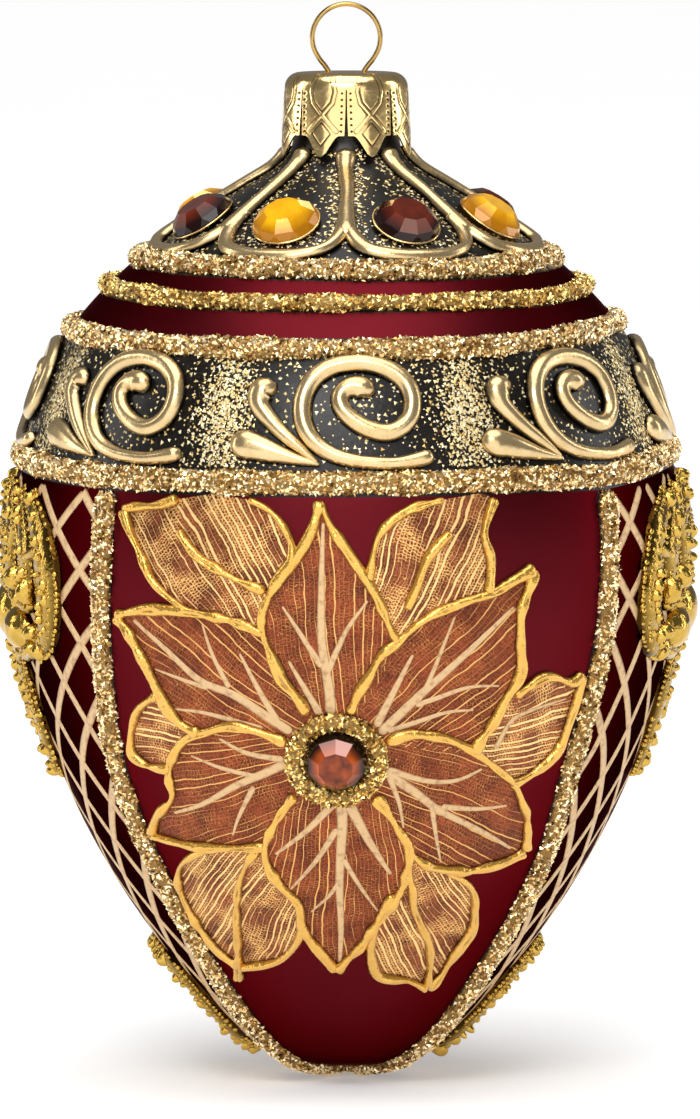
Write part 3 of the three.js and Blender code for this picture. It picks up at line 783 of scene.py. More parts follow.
def cut_stone(name, rim, deep, bright, pale, glow):
    """Machine-cut glass with foil behind it, its light painted on: each facet takes a random tone between deep
    and bright as a painted reflection of the foil, a few take a pale painted glint, the edge is painted darker as
    shade, and the whole stone has a faint painted glow"""
    made, tree = start_material(name)
    places = node(tree, "ShaderNodeTexCoord").outputs["Object"]
    swirl = node(tree, "ShaderNodeTexNoise", {"Vector": places, "Scale": per_mm(1.8), "Detail": 2.0})
    own = node(tree, "ShaderNodeAttribute", attribute_name="facet").outputs["Fac"]
    facet = node(tree, "ShaderNodeMath", {0: own, 1: 0.45, 2: swirl}, operation="MULTIPLY_ADD")
    share = node(tree, "ShaderNodeMapRange", {"Value": facet, "From Min": 0.35, "From Max": 1.0})
    dim = node(tree, "ShaderNodeMix", {0: share, 6: deep, 7: bright}, data_type="RGBA")
    # Painted shade: darker towards the stone's edge
    painted_edge_shade = changed(tree, dim, rim, "out", 0.6, 0.9)
    # Painted glints: faces whose facet value is above 1 turn pale
    colour = changed(tree, painted_edge_shade, pale, "facet", 1.1, 1.5)
    # The emission is a painted glow
    return end_material(made, {"Base Color": colour, "Metallic": 0.15, "Roughness": 0.14,
                               "Specular IOR Level": 0.25, "Coat Weight": 0.2, "Coat Roughness": 0.03,
                               "Emission Color": colour, "Emission Strength": glow})


def filigree_gold(colours):
    """Cast ornament, yellow-gold plated and polished, with painted shade in dark brown on its cast body down
    between its granules
    """
    made, tree = start_material("plated_filigree")
    _, plated = mottled(tree, colours.filigree, "#a27e32", 1.5, 3.0)
    # Painted shade: dark brown where the rise is low, on the cast body between the granules
    colour = changed(tree, plated, "#3a2408", "rise", 0.78, 0.25)
    return end_material(made, {"Base Color": colour, "Metallic": 1.0, "Roughness": 0.16}, 0.7, 0.12)


def white_paper():
    """Translucent white paper of the studio floor, lit a little from below"""
    made, tree = start_material("studio_paper")
    _, colour = mottled(tree, "#fbfbfb", "#f9f9f9", 60)
    return end_material(made, {"Base Color": colour, "Roughness": 0.9, "Emission Color": colour,
                               "Emission Strength": 0.27})


# Pieces

def colours_of(context):
    """The chosen colours"""
    return context.scene.egg_colours


def sizes_of(context):
    """The chosen sizes"""
    return context.scene.egg_sizes


def dust_amount(turn, level):
    """How thickly gold dust lies on the enamel: in clouds midway between the scrolls, and on the dome"""
    from_middle = np.abs((turn / STEP) % 1 - 0.5)
    band_top, band_foot = SHOULDER_ROPES[2][0], SHOULDER_ROPES[3][0]
    in_band = (level > band_foot) & (level < band_top)
    height = (level - (band_foot + band_top) / 2) / (band_top - band_foot)
    cloud = np.exp(-(from_middle / 0.09) ** 2) * np.exp(-(height / 0.45) ** 2)
    from_stem = (0.5 - from_middle) * STEP * GLASS.foot(level)
    loops, dome_foot = 140.6, 139.5
    from_loop = np.abs(level - loops)
    beside = np.exp(-((from_stem - 1.5) / 0.8) ** 2) + np.exp(-(from_loop / 1.0) ** 2)
    dome = 0.05 + 0.24 * np.clip(beside, 0, 1) * (level > dome_foot)
    return np.where(in_band, 0.07 + 0.93 * cloud, np.where(level > band_top, dome, 0.0))


# The glass's zones, in the order of its materials, and how far the enamel, also painted shadow, shows beside a
# rope
LACQUER, ENAMEL, SILVER = range(3)
ENAMEL_SHADOW_LINE = 0.2


class EGG_OT_glass(bpy.types.Operator):
    """Blow the hollow glass and paint its zones"""
    bl_idname = "egg.glass"
    bl_label = "Glass"

    def execute(self, context):
        wall = sizes_of(context).wall / MM
        sides, spacing, rope_lap, crowding = 144, 1.2, 0.3, 0.25
        edges = []
        for level, width in SHOULDER_ROPES:
            for side in (-1, 1):
                edge = level + side * width / 2
                edges += [edge + side * ENAMEL_SHADOW_LINE, edge - side * rope_lap]
        uniform = np.arange(spacing / 2, GLASS.level[-1] - 0.3, spacing)
        uniform = uniform[np.min(np.abs(uniform[:, None] - np.array(edges)[None]), axis=1) > crowding]
        levels = np.sort(np.concatenate([uniform, edges, [GLASS.level[-1]]]))
        inner_levels = levels[::-3]
        turns = np.arange(sides) * TURN / sides
        rings = np.concatenate([GLASS.place(turns[None], 0, levels[:, None]),
                                GLASS.place(turns[None], 0, inner_levels[:, None], -wall)])
        tip, inner_tip = (GLASS.place(0, 0, 0, lift)[None] for lift in (0, -wall))
        rows = len(rings)
        faces = (skin(rows, sides) + 1).tolist()
        outside = [self.zone(level) for level in (levels[:-1] + levels[1:]) / 2]
        zones = np.repeat(outside + [SILVER] * (rows - len(levels)), sides).tolist()
        last = 1 + (rows - 1) * sides
        for j in range(sides):
            beside = (j + 1) % sides
            faces += [[0, 1 + beside, 1 + j], [last + j, last + beside, last + sides]]
            zones += [LACQUER, SILVER]
        all_levels = np.concatenate([[0], np.repeat(levels, sides), np.repeat(inner_levels, sides), [0]])
        all_turns = np.concatenate([[0], np.tile(turns, rows), [0]])
        shape = Shape()
        shape.add(np.vstack([tip, rings.reshape(-1, 3), inner_tip]), faces,
                  dust=dust_amount(all_turns, all_levels), side=self.beyond_ropes(all_turns, all_levels))
        colours = colours_of(context)
        materials = [burgundy_lacquer(colours), black_enamel(colours), silvering()]
        keep(shape.make("blown_glass_egg", materials, material_of_face=zones), "lacquered_glass", "glass_egg")
        return {"FINISHED"}

    @staticmethod
    def beyond_ropes(turn, level):
        """Where the side panels lie, outside the upright ropes of the front and the back"""
        beyond = np.zeros(len(turn), bool)
        for (low, line), (high, other) in (PANEL_ROPES[:2], PANEL_ROPES[2:]):
            foot = np.maximum(GLASS.foot(level), 1)
            start, end = (angle + np.interp(level, *np.array(run)[:, ::-1].T) / foot
                          for angle, run in ((low, line), (high, other)))
            beyond |= (turn - start) % TURN < (end - start) % TURN
        return beyond & (level < SHOULDER_ROPES[3][0])

    @staticmethod
    def zone(level):
        """Enamel on the dome, on the band of scrolls and in a fine line along each rope, which is also painted
        shadow
        """
        (top, _), _, (band_top, _), (band_foot, _) = SHOULDER_ROPES
        if level > top or band_foot < level < band_top:
            return ENAMEL
        beside_rope = any(abs(level - rope) < width / 2 + ENAMEL_SHADOW_LINE for rope, width in SHOULDER_ROPES)
        return ENAMEL if beside_rope else LACQUER


class EGG_OT_cap(bpy.types.Operator):
    """Stamp the crown cap with its eight flaps"""
    bl_idname = "egg.cap"
    bl_label = "Crown cap"

    def execute(self, context):
        columns, rows, flat_rings, bend_rings = 50, 74, 5, 6
        crease = 0.14
        flat_radius = CAP_SHOULDER_RADIUS - CAP_BEND
        half = STEP / 2
        share = np.linspace(-1, 1, columns + 1)[None]
        drop = np.linspace(0, 1, rows + 1)[:, None]
        radius_middle = (CAP_SHOULDER_RADIUS + CAP_POINT_RADIUS) / 2
        foot = self.foot(np.abs(share) * half * radius_middle)
        side_top = CAP_TOP - CAP_BEND
        height = side_top - drop * (side_top - foot)
        opening = np.clip((side_top - height) / (side_top - CAP_NOTCH), 0, 1)
        gap = np.where(height < side_top, 0.1 + 0.17 * opening ** 2, 0) / radius_middle
        turn = share * (half - gap)
        out = CAP_SHOULDER_RADIUS + (CAP_POINT_RADIUS - CAP_SHOULDER_RADIUS) * (side_top - height) / (
            side_top - CAP_POINTS)
        relief = self.relief(turn * out, height)
        folds = crease * np.cos(np.pi * share)
        side = around(turn, out + 0.07 * np.maximum(relief, -0.5) + folds * np.clip(opening, 0.25, 1), height)
        bend = np.linspace(0, math.pi / 2, bend_rings + 2)[1:-1, None]
        grid = np.concatenate([
            around(share * half, np.linspace(0.02, flat_radius, flat_rings)[:, None], CAP_TOP),
            around(share * half, flat_radius + CAP_BEND * np.sin(bend) + folds * 0.25 * np.sin(bend),
                   side_top + CAP_BEND * np.cos(bend)),
            side])
        all_relief = np.concatenate([
            np.zeros((flat_rings, columns + 1)),
            self.relief(share * half * CAP_SHOULDER_RADIUS, side_top + CAP_BEND * (math.pi / 2 - bend)),
            relief])
        i, j = np.meshgrid(np.arange(len(grid) - 1), np.arange(columns), indexing="ij")
        corner = i * (columns + 1) + j
        quads = np.stack([corner, corner + columns + 1, corner + columns + 2, corner + 1], axis=-1).reshape(-1, 4)
        shape = Shape()
        # The relief stays on the corners, for the painted shade in the stamped lines and dots
        shape.add(grid.reshape(-1, 3), quads.tolist(), relief=all_relief.reshape(-1))
        gold = cap_gold(colours_of(context))
        cap = shape.make("stamped_crown_cap", [gold])
        run_tree(cap, around_tree(), count=REPEATS, first=STEP / 2, step=STEP, material=gold)
        self.close_and_thicken(cap)
        keep(cap, "crown_gold", "crown_cap")
        return {"FINISHED"}

    @staticmethod
    def foot(aside):
        """Height of the lower edge of a flap: a shoulder beside each slit and a point in the middle"""
        t = np.clip(aside / 2.7, 0, 1)
        return CAP_POINTS + (CAP_NOTCH - CAP_POINTS) * t * t * (3 - 2 * t)

    def relief(self, across, height):
        """The stamped lines of a flap: a cross over a diamond, and dots punched beside the slits"""
        aside = np.abs(across)
        cross = [(1.3, 135.2), (1.75, 133.0), (1.4, 131.5), (0.0, 129.9), (2.1, 127.7)]
        band = self.nearest(aside, height, cross)
        diamond = self.nearest(aside, height, [(0.0, 128.9), (1.3, 127.4), (0.0, 125.7)])
        grooves = np.exp(-((band - 0.3) / 0.1) ** 2) + np.exp(-(diamond / 0.11) ** 2)
        dots = np.zeros_like(band)
        for dot_height in np.arange(127.7, 133.1, 0.85):
            dots = np.maximum(dots, np.exp(-(np.hypot(aside - 2.75, height - dot_height) / 0.2) ** 4))
        return 0.5 * np.exp(-(band / 0.2) ** 2) - np.clip(grooves + 1.3 * dots, 0, 1)

    @staticmethod
    def nearest(aside, height, line):
        """How far each spot of a flap lies from a bent line"""
        found = np.full(np.broadcast(aside, height).shape, 9.0)
        for (x0, z0), (x1, z1) in zip(line, line[1:]):
            t = np.clip(((aside - x0) * (x1 - x0) + (height - z0) * (z1 - z0)) / (
                (x1 - x0) ** 2 + (z1 - z0) ** 2), 0, 1)
            found = np.minimum(found, np.hypot(aside - x0 - t * (x1 - x0), height - z0 - t * (z1 - z0)))
        return found

    @staticmethod
    def close_and_thicken(cap):
        """Joins the flaps where they meet and gives the sheet its thickness"""
        weld = cap.modifiers.new("weld", "WELD")
        weld.merge_threshold = 0.02 * MM
        thick = cap.modifiers.new("sheet", "SOLIDIFY")
        thick.thickness = 0.3 * MM
        thick.offset = -1
        mesh = bpy.data.meshes.new_from_object(cap.evaluated_get(bpy.context.evaluated_depsgraph_get()))
        cap.modifiers.clear()
        cap.data = mesh
        mesh.polygons.foreach_set("use_smooth", [True] * len(mesh.polygons))
        mesh.set_sharp_from_angle(angle=math.radians(50))


class EGG_OT_ring(bpy.types.Operator):
    """Bend the wire ring and its two sprung legs"""
    bl_idname = "egg.ring"
    bl_label = "Wire ring"

    def execute(self, context):
        open_angle = math.radians(38)
        sides = 12
        leg = [(4.9, 127.4), (3.4, 130.6), (2.1, 133.0), (2.05, 134.4), (2.4, 135.5), (3.0, 136.4)]
        turns = np.linspace(-open_angle, math.pi + open_angle, 13)
        arc = [(RING_RADIUS * math.cos(t), RING_CENTRE + RING_RADIUS * math.sin(t)) for t in turns]
        path = curve_through(leg + arc + [(-x, z) for x, z in reversed(leg)], 8)
        along = directions(path)
        radius = sizes_of(context).wire / 2 / MM
        swing = np.arange(sides) * TURN / sides
        x = path[:, 0:1] + radius * np.cos(swing) * along[:, 1:2]
        z = path[:, 1:2] - radius * np.cos(swing) * along[:, 0:1]
        y = np.broadcast_to(radius * np.sin(swing), x.shape)
        shape = Shape()
        shape.add_rings(np.stack([x, y, z], axis=-1) * MM + (0, 0, TIP_HEIGHT))
        keep(shape.make("wire_ring", [wire_gold()], sharp_angle=60), "ring_wire", "hanging_ring")
        return {"FINISHED"}


class EGG_OT_ropes(bpy.types.Operator):
    """Lay the ropes of glue and pour coarse glitter over them"""
    bl_idname = "egg.ropes"
    bl_label = "Glitter ropes"

    def execute(self, context):
        sizes = sizes_of(context)
        rng = np.random.default_rng(SEED)
        height = sizes.rope_height / MM
        under_grains = 0.35
        # Dark brown tones are painted shade between the grains, near-white ones painted glints
        tones = ((0.0, "#42260a"), (0.17, "#a38048"), (0.36, "#e4ca9c"), (0.6, "#fff6de"), (1.0, "#ffffff"))
        warm = glitter("coarse_gold_glitter", colours_of(context).glitter, tones)
        yellow = glitter("bright_gold_glitter", "#fbe6a0", tones)
        glue = glue_gold()
        tree = scatter_tree("pour glitter")
        for i, (level, width) in enumerate(SHOULDER_ROPES):
            rope = self.level_rope(f"glitter_rope_{i + 1}", level, width - under_grains, height, glue, rng)
            self.pour(rope, tree, yellow if i == 1 else warm, sizes, i)
            keep(rope, "glitter", f"shoulder_rope_{i + 1}")
        for i, (angle, line) in enumerate(PANEL_ROPES):
            shape = Shape()
            bead(shape, angle, line, PANEL_ROPE_WIDTH - under_grains, height, wobble=0.12, sway=0.12, rng=rng)
            rope = shape.make(f"glitter_panel_rope_{i + 1}", [glue])
            self.pour(rope, tree, warm, sizes, i + 10)
            keep(rope, "glitter", f"panel_rope_{i + 1}")
        for i, (place, angle, shift) in enumerate(FLOWERS):
            rope = self.stone_ring(f"{place}_stone_glitter", angle, shift, glue)
            self.pour(rope, tree, yellow, sizes, i + 20, 0.95)
            keep(rope, "glitter", f"{place}_stone_rope")
        return {"FINISHED"}

    def level_rope(self, name, level, width, height, glue, rng):
        """A wavering bead of glue around the egg"""
        turns = spaced(360)
        waver = sum(rng.uniform(0.05, 0.13) * np.sin(k * turns + rng.uniform(0, TURN)) for k in (9, 14, 23, 37))
        return self.closed_bead(name, glue, height, lambda side, lift: GLASS.place(
            turns[:, None], 0, level + (width / 2 + waver[:, None]) * side, lift))

    def stone_ring(self, name, angle, shift, glue):
        """The ring of glue around a flower's stone"""
        radius, half_width, height = 5.55, 1.2, 1.15
        turns = spaced(60)[:, None]

        def place(side, lift):
            out = radius + half_width * side
            return GLASS.place(angle, shift + out * np.cos(turns), FLOWER_LEVEL + out * np.sin(turns), lift)
        return self.closed_bead(name, glue, height, place)

    @staticmethod
    def closed_bead(name, glue, height, place):
        """A half-round bead that meets itself, by a function that places its corners: how far to a side they
        lie, from 1 to -1, and their lift"""
        swing = np.linspace(0, math.pi, 9)
        rings = place(np.cos(swing), height * np.sin(swing) - 0.1 * (np.sin(swing) < ON_GROUND))
        shape = Shape()
        shape.add_rings(rings, closed=True, rise=np.tile(np.sin(swing), len(rings)))
        return shape.make(name, [glue])

    @staticmethod
    def pour(rope, tree, gold, sizes, number, coarseness=1.0):
        """Covers a bead of glue with grains, more thinly on its flat underside"""
        grain = sizes.grain * coarseness
        rise = np.zeros(len(rope.data.vertices), np.float32)
        rope.data.attributes["rise"].data.foreach_get("value", rise)
        set_values(rope.data, "amount", np.clip(rise * 3, 0.6, 1))
        run_tree(rope, tree, density=3.3 / grain ** 2, grain=grain, flatness=0.65, spread=0.5,
                 tilt=1.3, seed=SEED + number, keep_base=True, material=gold)


class EGG_OT_piping(bpy.types.Operator):
    """Pipe the stems and loops of the dome and the scrolls of the band"""
    bl_idname = "egg.piping"
    bl_label = "Raised piping"

    def execute(self, context):
        sizes = sizes_of(context)
        gold = antique_gold(colours_of(context))
        width, height = sizes.pipe_width / MM, sizes.pipe_height / MM
        repeat = around_tree()
        rng = np.random.default_rng(SEED + 1)

        dome = Shape()
        loop = [(0, 146.4), (0.03, 142.6), (0.13, 139.1), (0.3, 137.7), (0.5, 137.4), (0.7, 137.7), (0.87, 139.1),
                (0.97, 142.6), (1, 146.4)]
        line = [(share * STEP * GLASS.foot(level), level) for share, level in loop]
        bead(dome, 0.0, line, width * 1.3, height * 1.05, rng=rng, wobble=0.06)
        stem = [(0, 141.2), (0, 147), (0.1, 152), (-0.15, 157), (0, STEM_TOP)]
        bead(dome, 0.0, stem, width * 1.25, height * 1.05,
             profile=lambda t: np.interp(t, (0, 0.2, 0.45, 0.8, 0.93, 1), (1.5, 1.1, 0.9, 1.0, 1.3, 1.2)))
        loops = dome.make("dome_loops", [gold])
        run_tree(loops, repeat, count=REPEATS, first=0.0, step=STEP, material=gold)
        keep(loops, "piping_gold", "dome_piping")

        scroll = Shape()
        spiral = [(10.1, 106.0), (7.1, 105.4), (4.6, 105.1), (2.0, 105.2), (-0.5, 105.5), (-3.0, 106.2),
                  (-5.1, 107.5), (-6.6, 109.4), (-7.2, 111.6), (-7.0, 114.0), (-5.8, 116.4), (-3.6, 118.1),
                  (-0.9, 118.8), (1.7, 118.7), (4.3, 117.8), (6.3, 116.1), (7.2, 113.8), (6.9, 111.4),
                  (5.6, 109.8), (3.8, 109.2), (1.8, 109.6), (-0.1, 110.6), (-1.7, 112.1), (-2.3, 113.7),
                  (-1.7, 115.0), (-0.3, 115.5), (1.1, 115.0), (1.6, 114.0)]
        curl = [(-5.2, 105.2), (-7.7, 107.3), (-9.9, 109.2), (-11.7, 111.2), (-12.9, 113.1), (-12.6, 114.8),
                (-11.6, 115.1), (-10.9, 114.4)]
        teardrop = [(-4.9, 105.0), (-8.1, 105.7), (-11.2, 106.6), (-14.4, 107.5), (-17.0, 107.4)]
        bead(scroll, 0.0, spiral, width * 1.5, height * 1.3,
             profile=lambda t: np.interp(t, (0, 0.03, 0.08, 0.16, 0.3, 0.93, 0.97, 1),
                                         (0.85, 0.85, 0.7, 0.72, 1, 0.95, 1.25, 1.2)))
        bead(scroll, 0.0, curl, width * 1.5, height * 1.25,
             profile=lambda t: np.interp(t, (0, 0.3, 0.7, 0.85, 1), (0.25, 0.75, 1.05, 1.3, 1.25)))
        bead(scroll, 0.0, teardrop, width * 2.3, height * 1.4,
             profile=lambda t: np.interp(t, (0, 0.3, 0.6, 0.8, 1), (0.15, 0.45, 0.85, 1, 0.95)))
        scrolls = scroll.make("band_scrolls", [gold])
        run_tree(scrolls, repeat, count=REPEATS, first=SCROLL_TURN, step=STEP, material=gold)
        keep(scrolls, "piping_gold", *[f"scroll_{i + 1}" for i in range(REPEATS)])
        return {"FINISHED"}


class EGG_OT_stones(bpy.types.Operator):
    """Set the faceted stones on the dome and in the flowers"""
    bl_idname = "egg.stones"
    bl_label = "Stones"

    def execute(self, context):
        height = sizes_of(context).stone_height / MM
        colours = colours_of(context)
        # Each stone: edge shade, deep and bright facet reflections, pale glint and glow, all painted
        amber = cut_stone("amber_cut_glass", "#a06606", "#bc7e06", colours.amber, "#fbe28c", 0.25)
        garnet = cut_stone("garnet_cut_glass", "#1c0806", "#3c120a", colours.garnet, "#7e5a50", 0.1)
        smoked = cut_stone("smoked_cut_glass", "#140804", "#4a1c0c", "#bc5420", "#d4a296", 0.12)
        foil = cap_gold(colours)
        repeat = around_tree()
        on_dome = self.seat(0.0, 0.0, STONE_LEVEL)
        for name, slot, material, first, nodes, glints in (
                ("garnet_stones", "garnet_stone", garnet, 0.5, range(1, REPEATS, 2), (6, 7)),
                ("amber_stones", "amber_stone", amber, 1.5, range(2, REPEATS + 1, 2), (0,))):
            stones = self.stone(name, on_dome, 4.5, height * 0.9, material, glints)
            run_tree(stones, repeat, count=REPEATS // 2, first=first * STEP, step=2 * STEP, material=material)
            keep(stones, slot, *[f"dome_stone_{i}" for i in nodes])
        rims = self.rim("dome_stone_rims", on_dome, 4.55, foil)
        run_tree(rims, repeat, count=REPEATS, first=STEP / 2, step=STEP, material=foil)
        keep(rims, "piping_gold")
        for place, angle, shift in FLOWERS:
            seat = self.seat(angle, shift, FLOWER_LEVEL)
            stone = self.stone(f"{place}_flower_stone", seat, 4.15, height, smoked, (1, 2))
            keep(stone, "garnet_stone", f"{place}_stone")
        return {"FINISHED"}

    @staticmethod
    def seat(angle, across, level):
        """The middle of a stone's flat back and its three directions"""
        foot, outer = (Vector(GLASS.place(angle, across, level, lift)) for lift in (0.25, 1.25))
        out = (outer - foot).normalized()
        side = Vector((0, 0, 1)).cross(out).normalized()
        return np.array(foot), np.array([side, out.cross(side), out])

    @staticmethod
    def stone(name, seat, radius, height, material, glints):
        """A flat-backed stone: a wide table, a ring of long facets, some of them given a painted glint, and small
        facets down to a thin girdle"""
        around_girdle = 2 * FACETS
        rings = [(0.0, 1.0, around_girdle, 0.0), (0.14, 1.0, around_girdle, 0.0), (0.5, 0.92, FACETS, 0.25),
                 (1.0, 0.56, FACETS, 0.25)]
        corners = []
        starts = []
        for rise, reach, count, turned in rings:
            starts.append(len(corners))
            for i in range(count):
                t = (i + turned) * TURN / count + TURN / FACETS / 4
                corners.append((radius * reach * math.cos(t), radius * reach * math.sin(t), height * rise))
        back, girdle, ledge, table = starts
        faces = [list(range(back, girdle))[::-1], list(range(table, table + FACETS))]
        for i in range(around_girdle):
            j = (i + 1) % around_girdle
            faces.append([back + i, back + j, girdle + j, girdle + i])
        for i in range(FACETS):
            j = (i + 1) % FACETS
            low, middle, high = (girdle + (2 * i + k) % around_girdle for k in range(3))
            faces += [[low, middle, ledge + i], [middle, high, ledge + j], [middle, ledge + j, ledge + i],
                      [ledge + i, ledge + j, table + j, table + i]]
        corners = np.array(corners)
        foot, axes = seat
        shape = Shape()
        shape.add(foot + (corners @ axes) * MM, faces, out=np.hypot(*corners[:, :2].T) / radius)
        made = shape.make(name, [material], smooth=False)
        tones = np.random.default_rng(SEED + len(name)).uniform(0, 1, len(faces)).astype(np.float32)
        first_long = 2 + around_girdle + 3
        # The glinting facets get values above 1, which the material paints as pale glints
        tones[[first_long + 4 * i for i in glints]] = np.linspace(1.6, 1.3, len(glints))
        set_values(made.data, "facet", tones, "FACE")
        return made

    @staticmethod
    def rim(name, seat, radius, material):
        """The bright edge of foil and glue that shows around a stone"""
        sides, half = 8, 0.16
        turns = spaced(64)[:, None]
        swing = np.arange(sides)[None] * TURN / sides
        out = radius + half * np.cos(swing)
        rise = 0.1 + half * np.sin(swing) + 0 * turns
        flat = np.stack([out * np.cos(turns), out * np.sin(turns), rise], axis=-1)
        foot, axes = seat
        shape = Shape()
        shape.add_rings(foot + (flat @ axes) * MM, closed=True)
        return shape.make(name, [material])


# The lines of gold paste drawn around the front flower's petals and along the ribs of those behind
FLOWER_LINES = {
    "top left": [(-3.4, 100.3), (-5.4, 94.5), (-9.4, 89), (-11, 84), (-8.6, 77.5), (-5, 72)],
    "top right": [(-3.4, 100.3), (-1.2, 96), (3.2, 89.5), (6.9, 81.6)],
    "upper right top": [(0.4, 72.1), (3, 77.8), (6.5, 82), (10.5, 85), (15, 87), (19, 88), (22.3, 89.4),
                        (26.2, 91)],
    "upper right side": [(26.2, 91), (24.4, 86.5), (23.8, 81), (24, 77), (21.5, 72.8), (17, 66)],
    "upper left top": [(-33.3, 84.4), (-28, 85.5), (-20, 85.3), (-15, 84.7), (-10.7, 82.8)],
    "upper left side": [(-33.3, 84.4), (-29.5, 80), (-26.5, 74.5), (-23, 70), (-20, 68.8)],
    "lower left top": [(-7.8, 67.9), (-14, 69.8), (-20, 69), (-23.6, 66.5), (-24.9, 62.5), (-24.6, 59),
                       (-27.5, 56), (-28.9, 52.8)],
    "lower left foot": [(-28.9, 52.8), (-24, 52.2), (-18, 51.5), (-10.7, 52.2)],
    "bottom left": [(-6.8, 60.4), (-9.5, 56), (-10.9, 51.5), (-9.3, 47), (-6.6, 43.5), (-6, 39), (-3.8, 35),
                    (-1.3, 31)],
    "bottom right": [(3.8, 60.2), (6.5, 56), (8.2, 51.5), (7.4, 46), (4.5, 40.5), (1.5, 35), (-1.3, 31)],
    "lower right top": [(5.2, 68.1), (10, 69.2), (15, 67.8), (20, 64.3), (24, 60.3), (25.8, 55.5), (26.2, 50.4)],
    "lower right foot": [(26.2, 50.4), (20, 48.3), (15, 48.1), (11, 49), (7.9, 52)],
    "behind top left": [(-32, 98.5), (-28.4, 92), (-26, 88.8), (-21, 85.4)],
    "behind top left rim": [(-32, 98.5), (-27, 99.2), (-23, 100.2)],
    "behind top left end": [(-13, 100.4), (-9.5, 98.5), (-7.3, 94.5), (-7.6, 91)],
    "rib top left": [(-23, 96.2), (-18.5, 91.8), (-10.6, 88.6)],
    "behind top right": [(13, 100.3), (7.5, 98.9), (4, 95.5), (2.9, 89.9)],
    "behind top right end": [(20.1, 100.3), (18.5, 96), (19.6, 92.5), (19.2, 88)],
    "rib top right": [(13.9, 96.2), (10.3, 92.1), (7.9, 86.2)],
    "behind right top": [(23.2, 74), (28, 76.4), (32.5, 75.2), (34.8, 76.3)],
    "behind right foot": [(34.8, 76.3), (32.5, 69.5), (29.5, 64.5), (22.8, 61)],
    "behind low right": [(13.4, 48.2), (17, 45.5), (18.2, 40), (15.5, 33.5), (11.2, 27)],
    "rib low right": [(8, 48.6), (9.8, 40), (11.5, 34), (11.2, 27)],
    "behind low right end": [(6.5, 44.6), (4, 40), (3.2, 34.5), (4.2, 30.3), (8.5, 29), (11.2, 27)],
    "behind low left end": [(-14.9, 31), (-9.3, 32.6), (-6.9, 35.8), (-5.8, 39)],
    "rib low left": [(-11.9, 52), (-14.7, 45.5), (-15, 38), (-15.4, 28.4)],
    "behind low left": [(-19, 51.6), (-23.5, 48.5), (-24.4, 44.5), (-22.5, 39), (-18.5, 33.8), (-15, 31)],
    "behind left": [(-26.3, 74), (-30, 71.2), (-31.5, 66), (-29.5, 64), (-24.6, 63.3)],
}

# Outlines of the petals: names of lines, a minus for a line taken backwards, and points that lie hidden
FRONT_PETALS = [
    ["top left", (0, 70), (4, 76), "-top right"],
    ["upper right top", "upper right side", (3, 68)],
    ["-upper left side", "upper left top", (-9.5, 80), (-5.5, 73), (-3, 67), (-12, 69)],
    ["lower left top", "lower left foot", (-9.7, 55), (-3, 63)],
    ["bottom left", "-bottom right", (-1, 63)],
    ["lower right top", "lower right foot", (6.8, 55), (1, 63)],
]
PETALS_BEHIND = [
    ["behind top left", (-18, 82), (-9, 80), (-7, 87), "-behind top left end", (-18, 101),
     "-behind top left rim"],
    ["-behind top right end", (18, 101), "behind top right", (6, 82), (9, 82), (18, 84)],
    ["behind right top", "behind right foot", (17, 61), (18, 71)],
    ["behind low right", "-behind low right end", (6, 50), (10, 53)],
    ["behind low left", "behind low left end", (-5, 45), (-8, 53)],
    ["behind left", (-20, 65), (-20, 71)],
]

